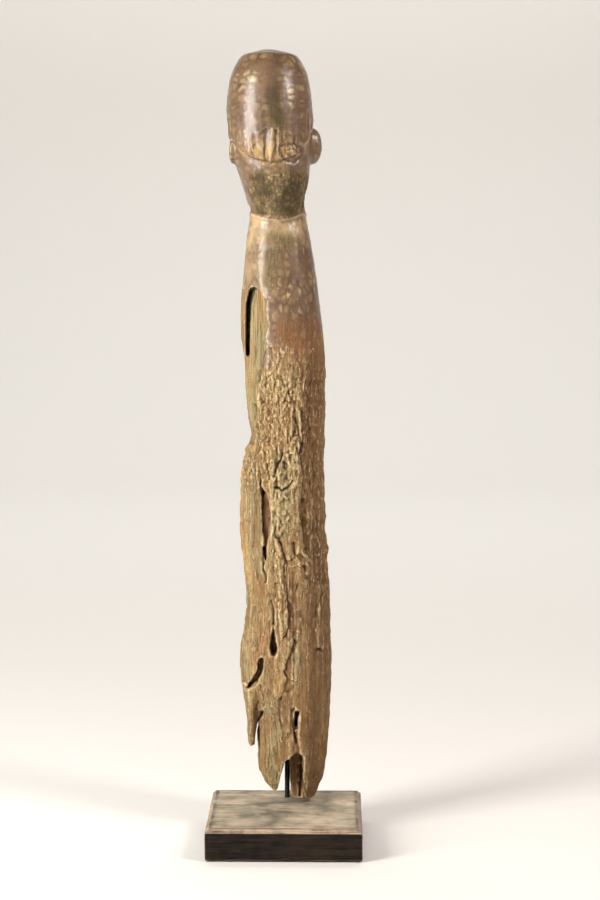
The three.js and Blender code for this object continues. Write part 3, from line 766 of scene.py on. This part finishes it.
# The handled surface: tan ovals rubbed through a purplish brown, golden low on the cap.
seams = spread(tree, plus(tree, stored(tree, "seam"), times(tree, cloud, 0.9)), 0.4, 1.2)
rubbed = blend(tree, stored(tree, "tone"), (0.27, 0.17, 0.075), (0.5, 0.37, 0.175))
under = blend(tree, spread(tree, plus(tree, cloud, heights), 0.85, 1.15), (0.05, 0.028, 0.017),
    (0.19, 0.112, 0.06))
oval_share = times(tree, combine(tree, "SUBTRACT", 1.0, seams, clamp=True),
    spread(tree, stored(tree, "ovals"), 0, 1, 0.45, 1.0))
oval_share = times(tree, oval_share, spread(tree, stored(tree, "tone"), 0.15, 0.55, 0.3, 1.0))
aged_gold = blend(tree, spread(tree, streak, 0.43, 0.58), (0.38, 0.24, 0.085), (0.11, 0.052, 0.022))
olive = blend(tree, spread(tree, heights, 0.42, 0.58), (0.06, 0.045, 0.018), (0.27, 0.2, 0.08))
red_brown = blend(tree, spread(tree, heights, 0.42, 0.6), (0.1, 0.04, 0.016), (0.28, 0.135, 0.052))
patina = layered(
    tree, under,
    (oval_share, rubbed),
    (spread(tree, streak, 0.4, 0.6, 0.15, 0.75), (0.14, 0.085, 0.048)),
    (times(tree, stored(tree, "pale"), spread(tree, cloud, 0.32, 0.6, 0.1, 0.95)), (0.43, 0.31, 0.165)),
    (times(tree, gold, spread(tree, fibre, 0.3, 0.55, 0.5, 1)), aged_gold),
    # Redder wood, with the painted shade of the right side.
    (times(tree, red_and_right_shade, spread(tree, stored(tree, "tone"), 0.3, 0.8, 1.0, 0.5)), red_brown),
    (times(tree, green, spread(tree, cloud, 0.3, 0.5)), olive),
    # Darker in hollows and paler on crests: partly grime and rubbing of the handled wood, partly painted
    # shade and painted highlight.
    (spread(tree, stored(tree, "dip"), 1.0, 6.0, 0, 0.6), (0.06, 0.034, 0.018)),
    (spread(tree, stored(tree, "dip"), -0.6, -3.0, 0, 0.5), (0.52, 0.38, 0.22)),
)

# The dry surface: grey-green growth, and redder wood where a layer has gone and on the right side, where it
# is also painted darker as painted shade.
# Its hollows and its lower part are painted darker as painted shade, and its crests paler as a painted
# highlight.
low_shade_brown = blend(tree, spread(tree, heights, 0.42, 0.58), (0.12, 0.068, 0.028), (0.36, 0.24, 0.105))
bare = blend(tree, spread(tree, heights, 0.42, 0.58), (0.22, 0.13, 0.052), (0.62, 0.46, 0.215))
bare = layered(
    tree, bare,
    (spread(tree, cloud, 0.4, 0.65, 0, 0.5), (0.5, 0.345, 0.17)),
    (spread(tree, streak, 0.45, 0.62, 0, 0.45), (0.3, 0.2, 0.1)),
    # Painted shade: darker and browner towards the bottom.
    (times(tree, stored(tree, "low_shade"), spread(tree, cloud, 0.3, 0.6, 0.5, 1.0)), low_shade_brown),
    (spread(tree, stored(tree, "hue"), 0.1, 0.8, 0, 0.65), (0.28, 0.135, 0.055)),
    (spread(tree, stored(tree, "hue"), -0.1, -0.8, 0, 0.6), (0.33, 0.3, 0.165)),
    (times(tree, green, spread(tree, streak, 0.38, 0.6, 0.25, 0.95)), (0.25, 0.23, 0.125)),
    # Redder wood, with the painted shade of the right side.
    (times(tree, red_and_right_shade, spread(tree, cloud, 0.3, 0.6, 0.55, 0.95)), (0.2, 0.1, 0.046)),
    (times(tree, crack, spread(tree, cloud, 0.36, 0.56, 0.1, 0.85)), (0.09, 0.05, 0.022)),
    (times(tree, stored(tree, "brown"), spread(tree, cloud, 0.3, 0.6, 0.25, 0.8)), (0.25, 0.14, 0.058)),
    # Hollows painted darker as painted shade, and crests painted paler as a painted highlight.
    (spread(tree, stored(tree, "dip"), 0.25, 2.2, 0, 0.92), (0.075, 0.042, 0.018)),
    (spread(tree, stored(tree, "dip"), -0.3, -2.0, 0, 0.72), (0.76, 0.61, 0.36)),
    (stored(tree, "split"), (0.32, 0.17, 0.095)),
    # The wider recesses painted darker still, as painted shade.
    (spread(tree, stored(tree, "sink"), 0.9, 3.2, 0, 0.8), (0.09, 0.05, 0.026)),
)

colour = blend(tree, dry_share, patina, bare)
colour = layered(
    tree, colour,
    (times(tree, stored(tree, "orange"), spread(tree, cloud, 0.35, 0.55)), (0.55, 0.28, 0.085)),
    # Dark stains, and the painted shadow line under the cap's rim.
    (times(tree, stain_and_rim_shadow, spread(tree, cloud, 0.3, 0.6, 0.35, 0.95)), (0.05, 0.036, 0.018)),
)
tree.links.new(colour, surface.inputs["Base Color"])
rough = plus(tree, spread(tree, dry_share, 0, 1, 0.36, 0.9), times(tree, seams, 0.1))
rough = plus(tree, rough, times(tree, plus(tree, stain_and_rim_shadow, green), 0.3))
gloss = times(tree, spread(tree, dry_share, 0.1, 0.5, 0.7, 0),
    spread(tree, plus(tree, stain_and_rim_shadow, green), 0, 0.6, 1, 0))
gloss = times(tree, gloss, spread(tree, red_and_right_shade, 0, 1, 1, 0.3))
tree.links.new(gloss, surface.inputs["Coat Weight"])
surface.inputs["Coat Roughness"].default_value = 0.3
surface.inputs["Specular IOR Level"].default_value = 0.28
tree.links.new(plus(tree, rough, times(tree, gold, 0.12), clamp=True), surface.inputs["Roughness"])
crisp = plus(tree, times(tree, fibre, 0.7), plus(tree, times(tree, grit, 0.55), times(tree, crack, -0.25)))
polished = plus(tree, times(tree, cloud, 0.35), times(tree, grit, 0.06))
fine = add_node(tree, "ShaderNodeMix", {0: dry_share, 2: polished, 3: crisp}).outputs[0]
bump = add_node(tree, "ShaderNodeBump", {"Strength": 1.0, "Distance": 0.002, "Height": fine})
tree.links.new(bump.outputs["Normal"], surface.inputs["Normal"])

figure.data.materials.clear()
figure.data.materials.append(old_wood)
bpy.context.view_layer.objects.active = figure
figure.select_set(True)
bpy.ops.object.shade_smooth()
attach(figure, "figure")
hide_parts("carved_figure")


# ---- Brass bush in the log ---------------------------------------------------------------------------
# A turned brass tube, closed at its upper end, glued into a hole bored up the log. The rod slides and turns
# in it, so the wood is never worn.
def corners(node):
    """A CAD node's lowest and highest corners, in millimetres."""
    return [np.array(corner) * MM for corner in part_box(node)]


def pick_faces(piece, test):
    """Selects, in edit mode, the faces whose middle and direction pass the test."""
    bpy.ops.object.mode_set(mode="OBJECT")
    for part in (*piece.data.vertices, *piece.data.edges):
        part.select = False
    for side in piece.data.polygons:
        side.select = bool(test(side.center * MM, side.normal))
    bpy.ops.object.mode_set(mode="EDIT")
    bpy.ops.mesh.select_mode(type="FACE")


def new_cylinder(name, middle, radius, low, high, sides=64):
    bpy.ops.object.select_all(action="DESELECT")
    bpy.ops.mesh.primitive_cylinder_add(
        vertices=sides, radius=radius / MM, depth=(high - low) / MM,
        location=(middle[0] / MM, middle[1] / MM, (low + high) / 2 / MM))
    piece = bpy.context.object
    piece.name = name
    bpy.ops.object.transform_apply(location=True, rotation=True, scale=True)
    return piece


def round_edges(piece, width, steps=3, angle=30):
    finish_with(piece, "BEVEL", width=width / MM, segments=steps, limit_method="ANGLE",
        angle_limit=math.radians(angle))
    bpy.ops.object.select_all(action="DESELECT")
    piece.select_set(True)
    bpy.context.view_layer.objects.active = piece
    bpy.ops.object.shade_smooth_by_angle(angle=math.radians(35))


def dress(piece, material, body, node):
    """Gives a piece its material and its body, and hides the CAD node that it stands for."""
    piece.data.materials.clear()
    piece.data.materials.append(material)
    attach(piece, body)
    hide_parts(node)


BUSH_WALL = 1.2
BUSH_CAP = 3.7
bush_low, bush_high = corners("pin_socket")
pin_axis = (bush_low + bush_high)[:2] / 2
bush = new_cylinder("brass_bush", pin_axis, (bush_high - bush_low)[0] / 2, bush_low[2], bush_high[2])
pick_faces(bush, lambda middle, facing: facing.z < -0.9)
bpy.ops.mesh.inset(thickness=BUSH_WALL / MM)
bpy.ops.mesh.extrude_region_move(
    TRANSFORM_OT_translate={"value": (0, 0, (bush_high[2] - bush_low[2] - BUSH_CAP) / MM)})
bpy.ops.object.mode_set(mode="OBJECT")
round_edges(bush, 0.25)

# Spots and rubbed places that any of the metals may show: Wear is bright, Grime is dark.
tarnish_group, given, result = new_group("tarnish", {"Size": 160.0}, ("Wear", "Grime", "Turning"))
where = add_node(tarnish_group, "ShaderNodeTexCoord").outputs["Object"]
rubs = noise(tarnish_group, where, given.outputs["Size"], 6.0, 0.65)
spots = noise(tarnish_group, where, 900.0, 3.0, 0.6)
turning = noise(tarnish_group, stretched(tarnish_group, where, 30.0, 4200.0), 1.0, 3.0, 0.6)
tarnish_group.links.new(spread(tarnish_group, rubs, 0.5, 0.68), result.inputs["Wear"])
tarnish_group.links.new(spread(tarnish_group, spots, 0.56, 0.7), result.inputs["Grime"])
tarnish_group.links.new(turning, result.inputs["Turning"])


def new_metal(name, clean, dull, dirt, gloss, metallic, size=160.0, ridges=0.00002):
    """A metal or painted metal: clean and dull are its colours, dirt the colour of its spots."""
    material, tree, surface = new_material(name)
    marks = add_node(tree, "ShaderNodeGroup", {"Size": size}, node_tree=tarnish_group)
    shade = blend(tree, marks.outputs["Wear"], dull, clean)
    shade = blend(tree, times(tree, marks.outputs["Grime"], 0.7), shade, dirt)
    tree.links.new(shade, surface.inputs["Base Color"])
    surface.inputs["Metallic"].default_value = metallic
    matt = plus(tree, times(tree, marks.outputs["Turning"], 0.2), times(tree, marks.outputs["Grime"], 0.3))
    tree.links.new(plus(tree, matt, gloss), surface.inputs["Roughness"])
    height = plus(tree, marks.outputs["Turning"], times(tree, marks.outputs["Wear"], 0.5))
    bump = add_node(tree, "ShaderNodeBump", {"Strength": 0.5, "Distance": ridges, "Height": height})
    tree.links.new(bump.outputs["Normal"], surface.inputs["Normal"])
    return material


brass = new_metal("brass", (0.72, 0.5, 0.2), (0.42, 0.28, 0.11), (0.1, 0.07, 0.04), 0.22, 1.0)
dress(bush, brass, "figure", "pin_socket")


# ---- Mount rod ---------------------------------------------------------------------------------------
# A mild steel rod, painted black with a green cast and rubbed where the figure slides over it. Its
# turned-down foot passes through the block and is threaded for the nut.
PITCH = 0.7
THREAD_STEPS = 6
THREAD_TOP = 12.2
THREAD_DEPTH = 0.38
SHANK = 2.0
rod_low, rod_high = corners("mount_rod")
block_low, block_high = corners("base_block")
block_top = block_high[2]
rod_radius = (rod_high - rod_low)[0] / 2
rod = new_cylinder("steel_rod", pin_axis, rod_radius, block_top, rod_high[2], 48)
pick_faces(rod, lambda middle, facing: facing.z < -0.9)
bpy.ops.mesh.inset(thickness=(rod_radius - SHANK) / MM)
bpy.ops.mesh.extrude_region_move(TRANSFORM_OT_translate={"value": (0, 0, -(block_top - THREAD_TOP) / MM)})
turns = int((THREAD_TOP - rod_low[2]) / PITCH * THREAD_STEPS)
for _ in range(turns):
    bpy.ops.mesh.extrude_region_move(
        TRANSFORM_OT_translate={"value": (0, 0, -(THREAD_TOP - rod_low[2]) / turns / MM)})
bpy.ops.mesh.inset(thickness=0.5 / MM)
pick_faces(rod, lambda middle, facing: facing.z > 0.9 and middle.z > rod_high[2] - 0.1)
bpy.ops.mesh.bevel(offset=0.8 / MM, segments=4, affect="EDGES")
bpy.ops.object.mode_set(mode="OBJECT")
shape = numbers(rod.data.vertices, "co", 3) * MM
radial = shape[:, :2] - pin_axis
angle = np.arctan2(radial[:, 1], radial[:, 0])
phase = (shape[:, 2] / PITCH - angle / (2 * math.pi)) % 1
threaded = (shape[:, 2] < THREAD_TOP - 0.05) & (np.linalg.norm(radial, axis=1) > SHANK - 0.2)
cut = threaded * fade(0, 0.7, THREAD_TOP - shape[:, 2]) * THREAD_DEPTH * np.abs(2 * phase - 1)
cut += threaded * 0.35 * fade(0.5, 0, shape[:, 2] - rod_low[2])
shape[:, :2] -= radial / np.linalg.norm(radial, axis=1).clip(0.1)[:, None] * cut[:, None]
move_to(rod, shape)
rod.select_set(True)
bpy.ops.object.shade_smooth_by_angle(angle=math.radians(35))
black_steel = new_metal("black_steel", (0.05, 0.07, 0.062), (0.012, 0.019, 0.016), (0.06, 0.05, 0.04), 0.3,
    0.35, 90.0, 0.00004)
dress(rod, black_steel, "rod", "mount_rod")


# ---- Washers and nut ---------------------------------------------------------------------------------
# Zinc-plated steel, in the pocket under the block: a wide flat washer, a split spring washer, and a nut with
# its corners taken off by the usual thirty-degree cone.
def new_ring(name, node, hole, rounding):
    """A flat ring the size of a CAD node, with a hole of that radius and its edges rounded."""
    low, high = corners(node)
    outer = (high - low)[1] / 2
    piece = new_cylinder(name, pin_axis, outer, low[2], high[2], 72)
    pick_faces(piece, lambda middle, facing: abs(facing.z) > 0.9)
    bpy.ops.mesh.inset(thickness=(outer - hole) / MM)
    bpy.ops.mesh.bridge_edge_loops()
    bpy.ops.object.mode_set(mode="OBJECT")
    if rounding:
        round_edges(piece, rounding)
    return piece


zinc = new_metal("zinc_steel", (0.62, 0.63, 0.62), (0.42, 0.43, 0.42), (0.25, 0.22, 0.17), 0.25, 1.0)
flat_ring = new_ring("plain_washer", "flat_washer", 2.15, 0.15)
dress(flat_ring, zinc, "rod", "flat_washer")
split_ring = new_ring("split_washer", "spring_washer", 2.15, 0)
pick_faces(split_ring, lambda middle, facing: middle.x > pin_axis[0] and abs(middle.y - pin_axis[1]) < 0.45)
bpy.ops.mesh.delete(type="FACE")
bpy.ops.mesh.select_mode(type="EDGE")
bpy.ops.mesh.select_all(action="DESELECT")
bpy.ops.mesh.select_non_manifold()
bpy.ops.mesh.edge_face_add()
bpy.ops.object.mode_set(mode="OBJECT")
round_edges(split_ring, 0.12)
dress(split_ring, zinc, "rod", "spring_washer")

ACROSS_FLATS = 7.0
FLAT_END = 3.3
nut_low, nut_high = corners("hex_nut")
nut = new_cylinder("plated_nut", pin_axis, ACROSS_FLATS / 2, nut_low[2], nut_high[2], 96)
pick_faces(nut, lambda middle, facing: abs(facing.z) > 0.9)
bpy.ops.mesh.inset(thickness=(ACROSS_FLATS / 2 - FLAT_END) / MM)
bpy.ops.mesh.inset(thickness=(FLAT_END - 2.4) / MM)
bpy.ops.mesh.inset(thickness=0.3 / MM)
bpy.ops.mesh.bridge_edge_loops()
bpy.ops.object.mode_set(mode="OBJECT")
shape = numbers(nut.data.vertices, "co", 3) * MM
radial = shape[:, :2] - pin_axis
radius = np.linalg.norm(radial, axis=1)
angle = np.arctan2(radial[:, 1], radial[:, 0])
rim = radius > FLAT_END + 0.05
hexagon = ACROSS_FLATS / 2 / np.cos((angle % (math.pi / 3)) - math.pi / 6)
grown = np.where(rim, hexagon, radius)
shape[:, :2] = pin_axis + radial * (grown / radius)[:, None]
nut_middle = (nut_low[2] + nut_high[2]) / 2
taken = np.where(rim, (grown - FLAT_END) * math.tan(math.radians(30)), 0) + np.where(radius < 2.2, 0.25, 0)
shape[:, 2] -= np.sign(shape[:, 2] - nut_middle) * taken
move_to(nut, shape)
nut.select_set(True)
bpy.ops.object.shade_smooth_by_angle(angle=math.radians(35))
dress(nut, zinc, "rod", "hex_nut")


# ---- Base block --------------------------------------------------------------------------------------
# A square block of black-stained hardwood with its top edges planed to a chamfer. Years on shelves have
# rubbed the edges back to pale wood. The top is painted grey-brown: dust and old wax, with a painted sheen
# over the dark stain.
CHAMFER = 3.6
BLOCK_SKIN = 0.85
_, pocket_high = corners("flat_washer")
POCKET = 9.5
bpy.ops.object.select_all(action="DESELECT")
bpy.ops.mesh.primitive_cube_add(size=1, location=(block_low + block_high) / 2 / MM)
block = bpy.context.object
block.name = "stained_block"
bpy.ops.transform.resize(value=(block_high - block_low) / MM)
bpy.ops.object.transform_apply(location=True, rotation=True, scale=True)
bpy.ops.object.mode_set(mode="OBJECT")
pick_faces(block, lambda middle, facing: facing.z > 0.9)
bpy.ops.mesh.bevel(offset=CHAMFER / MM, segments=1, affect="EDGES")
bpy.ops.object.mode_set(mode="OBJECT")
for radius, low, high in (
    (POCKET, block_low[2] - 2, pocket_high[2]),
    (SHANK + 0.3, block_low[2], block_top + 2),
):
    drill = new_cylinder("drill", pin_axis, radius, low, high, 64)
    finish_with(block, "BOOLEAN", operation="DIFFERENCE", object=drill)
    bpy.data.objects.remove(drill)
finish_with(block, "REMESH", mode="VOXEL", voxel_size=BLOCK_SKIN / MM, use_smooth_shade=True)
finish_with(block, "SMOOTH", factor=0.5, iterations=1)
shape = numbers(block.data.vertices, "co", 3) * MM
facing = numbers(block.data.vertex_normals, "vector", 3)
edge = fade(0.12, 0.8, np.einsum("ij,ij->i", shape - even_out(shape, 3, web_of(block), BLOCK_SKIN), facing))
dents = fade(0.25, 0.8, swell(shape, (9, 9, 9), 51)) + 0.6 * fade(0.35, 0.8, swell(shape, (4, 4, 4), 52))
worn = -edge * (0.05 + 0.55 * dents)
scratches = np.zeros(len(shape))
maker = np.random.default_rng(7)
for _ in range(26):
    start = maker.uniform((-70, -70), (70, 70))
    length = maker.uniform(8, 38)
    turn = maker.normal(0.1, 0.5)
    run = length * np.array([math.cos(turn), math.sin(turn)])
    share = np.clip(((shape[:, :2] - start) @ run) / (run @ run), 0, 1)
    away = np.linalg.norm(shape[:, :2] - start - share[:, None] * run, axis=1)
    scratches = np.maximum(scratches, np.exp(-((away / 0.8) ** 2)) * maker.uniform(0.3, 1))
scratches *= facing[:, 2] > 0.9
worn -= 0.25 * scratches + 0.12 * (1 + swell(shape, (60, 14, 14), 53)) * (1 - edge)
shape = shape + facing * worn[:, None]
move_to(block, shape)
keep(block, "edge", edge)
keep(block, "scratch", scratches)
keep(block, "upward", fade(0.8, 0.95, facing[:, 2]))
inset = np.min((block_high - block_low)[:2] / 2 - np.abs(shape[:, :2] - (block_high + block_low)[:2] / 2),
    axis=1)
keep(block, "chamfer", fade(0.25, 0.5, facing[:, 2]) * fade(0.92, 0.8, facing[:, 2]))
keep(block, "border", fade(0.8, 0.95, facing[:, 2]) * np.exp(-(((inset - CHAMFER - 1.6) / 1.5) ** 2))
    * (1 + swell(shape, (9, 9, 9), 54)) / 1.3)
block_triangles = 2 * len(block.data.polygons)
finish_with(block, "DECIMATE", ratio=min(1, 60000 / block_triangles))

stained, tree, surface = new_material("blackened_wood")
where = add_node(tree, "ShaderNodeTexCoord").outputs["Object"]
lengthwise = add_node(tree, "ShaderNodeMapping", {"Vector": where, "Scale": (28.0, 460.0, 460.0)})
pores = noise(tree, lengthwise.outputs[0], 1.0, 6.0, 0.65, 0.4)
banded = add_node(tree, "ShaderNodeMapping", {"Vector": where, "Scale": (11.0, 34.0, 34.0)})
bands = noise(tree, banded.outputs[0], 1.0, 4.0, 0.6, 0.8)
dust = noise(tree, where, 34.0, 6.0, 0.65)
stain_coat = blend(tree, spread(tree, plus(tree, pores, times(tree, dust, 0.7)), 0.7, 1.05),
    (0.002, 0.0013, 0.001), (0.024, 0.0155, 0.0095))
surface.inputs["Specular IOR Level"].default_value = 0.16
upward = stored(tree, "upward")
dust_and_sheen_top = blend(tree, spread(tree, pores, 0.35, 0.62), (0.22, 0.185, 0.13), (0.4, 0.34, 0.245))
dust_and_sheen_top = layered(
    tree, dust_and_sheen_top,
    (spread(tree, plus(tree, bands, dust), 1.0, 1.25, 0, 0.8), (0.55, 0.44, 0.33)),
    (spread(tree, plus(tree, bands, dust), 0.99, 0.8, 0, 0.75), (0.12, 0.115, 0.08)),
    (times(tree, stored(tree, "border"), 0.85), (0.05, 0.035, 0.028)),
)
# The top is painted grey-brown: dust, with a painted sheen of the lamps over the dark stain.
top_share = times(tree, upward, spread(tree, dust, 0.3, 0.5, 0.72, 1))
shade = blend(tree, top_share, stain_coat, dust_and_sheen_top)
shade = blend(
    tree, times(tree, stored(tree, "chamfer"), spread(tree, plus(tree, pores, dust), 0.8, 1.1, 0.15, 0.85)),
    shade, (0.46, 0.34, 0.24))
bare_edge = times(tree, stored(tree, "edge"), spread(tree, plus(tree, pores, dust), 0.85, 1.15, 0.1, 0.9))
shade = layered(
    tree, shade,
    (bare_edge, (0.36, 0.26, 0.17)),
    (times(tree, stored(tree, "scratch"), 0.5), (0.42, 0.34, 0.25)),
)
tree.links.new(shade, surface.inputs["Base Color"])
tree.links.new(plus(tree, spread(tree, dust, 0.3, 0.7, 0.42, 0.68), times(tree, upward, 0.12), clamp=True),
    surface.inputs["Roughness"])
bump = add_node(tree, "ShaderNodeBump", {"Strength": 0.5, "Distance": 0.0003,
    "Height": plus(tree, pores, times(tree, dust, 0.4))})
tree.links.new(bump.outputs["Normal"], surface.inputs["Normal"])
dress(block, stained, "stand", "base_block")


# ---- Felt sheet --------------------------------------------------------------------------------------
# Thin wool felt, cut a little smaller than the block and glued under it, so that it doesn't scratch a shelf.
felt_low, felt_high = corners("felt_sheet")
FELT_CUT = (felt_high - felt_low)[:2]
bpy.ops.object.select_all(action="DESELECT")
bpy.ops.mesh.primitive_cube_add(size=1, location=(felt_low + felt_high) / 2 / MM)
felt = bpy.context.object
felt.name = "wool_felt"
bpy.ops.transform.resize(value=(felt_high - felt_low) / MM)
bpy.ops.object.transform_apply(location=True, rotation=True, scale=True)
bpy.ops.object.mode_set(mode="EDIT")
bpy.ops.mesh.select_all(action="SELECT")
bpy.ops.mesh.bevel(offset=0.35 / MM, segments=2, affect="EDGES")
bpy.ops.mesh.select_all(action="SELECT")
bpy.ops.mesh.subdivide(number_cuts=40)
bpy.ops.object.mode_set(mode="OBJECT")
shape = numbers(felt.data.vertices, "co", 3) * MM
rim = fade(1.0, 0.2, np.min(FELT_CUT / 2 - np.abs(shape[:, :2]), axis=1))
shape[:, :2] -= np.sign(shape[:, :2]) * (0.25 * rim * (1 + swell(shape, (3, 3, 3), 61)))[:, None]
move_to(felt, shape)
wool, tree, surface = new_material("felt")
where = add_node(tree, "ShaderNodeTexCoord").outputs["Object"]
tufts = noise(tree, where, 420.0, 5.0, 0.7, 1.5)
hairs = noise(tree, where, 2600.0, 3.0, 0.7, 2.0)
tree.links.new(blend(tree, spread(tree, plus(tree, tufts, times(tree, hairs, 0.6)), 0.6, 1.0),
    (0.008, 0.011, 0.009), (0.035, 0.042, 0.036)), surface.inputs["Base Color"])
surface.inputs["Roughness"].default_value = 0.95
surface.inputs["Sheen Weight"].default_value = 0.4
surface.inputs["Sheen Roughness"].default_value = 0.6
bump = add_node(tree, "ShaderNodeBump", {"Strength": 0.8, "Distance": 0.0003,
    "Height": plus(tree, tufts, hairs)})
tree.links.new(bump.outputs["Normal"], surface.inputs["Normal"])
felt.select_set(True)
bpy.ops.object.shade_smooth_by_angle(angle=math.radians(50))
dress(felt, wool, "stand", "felt_sheet")
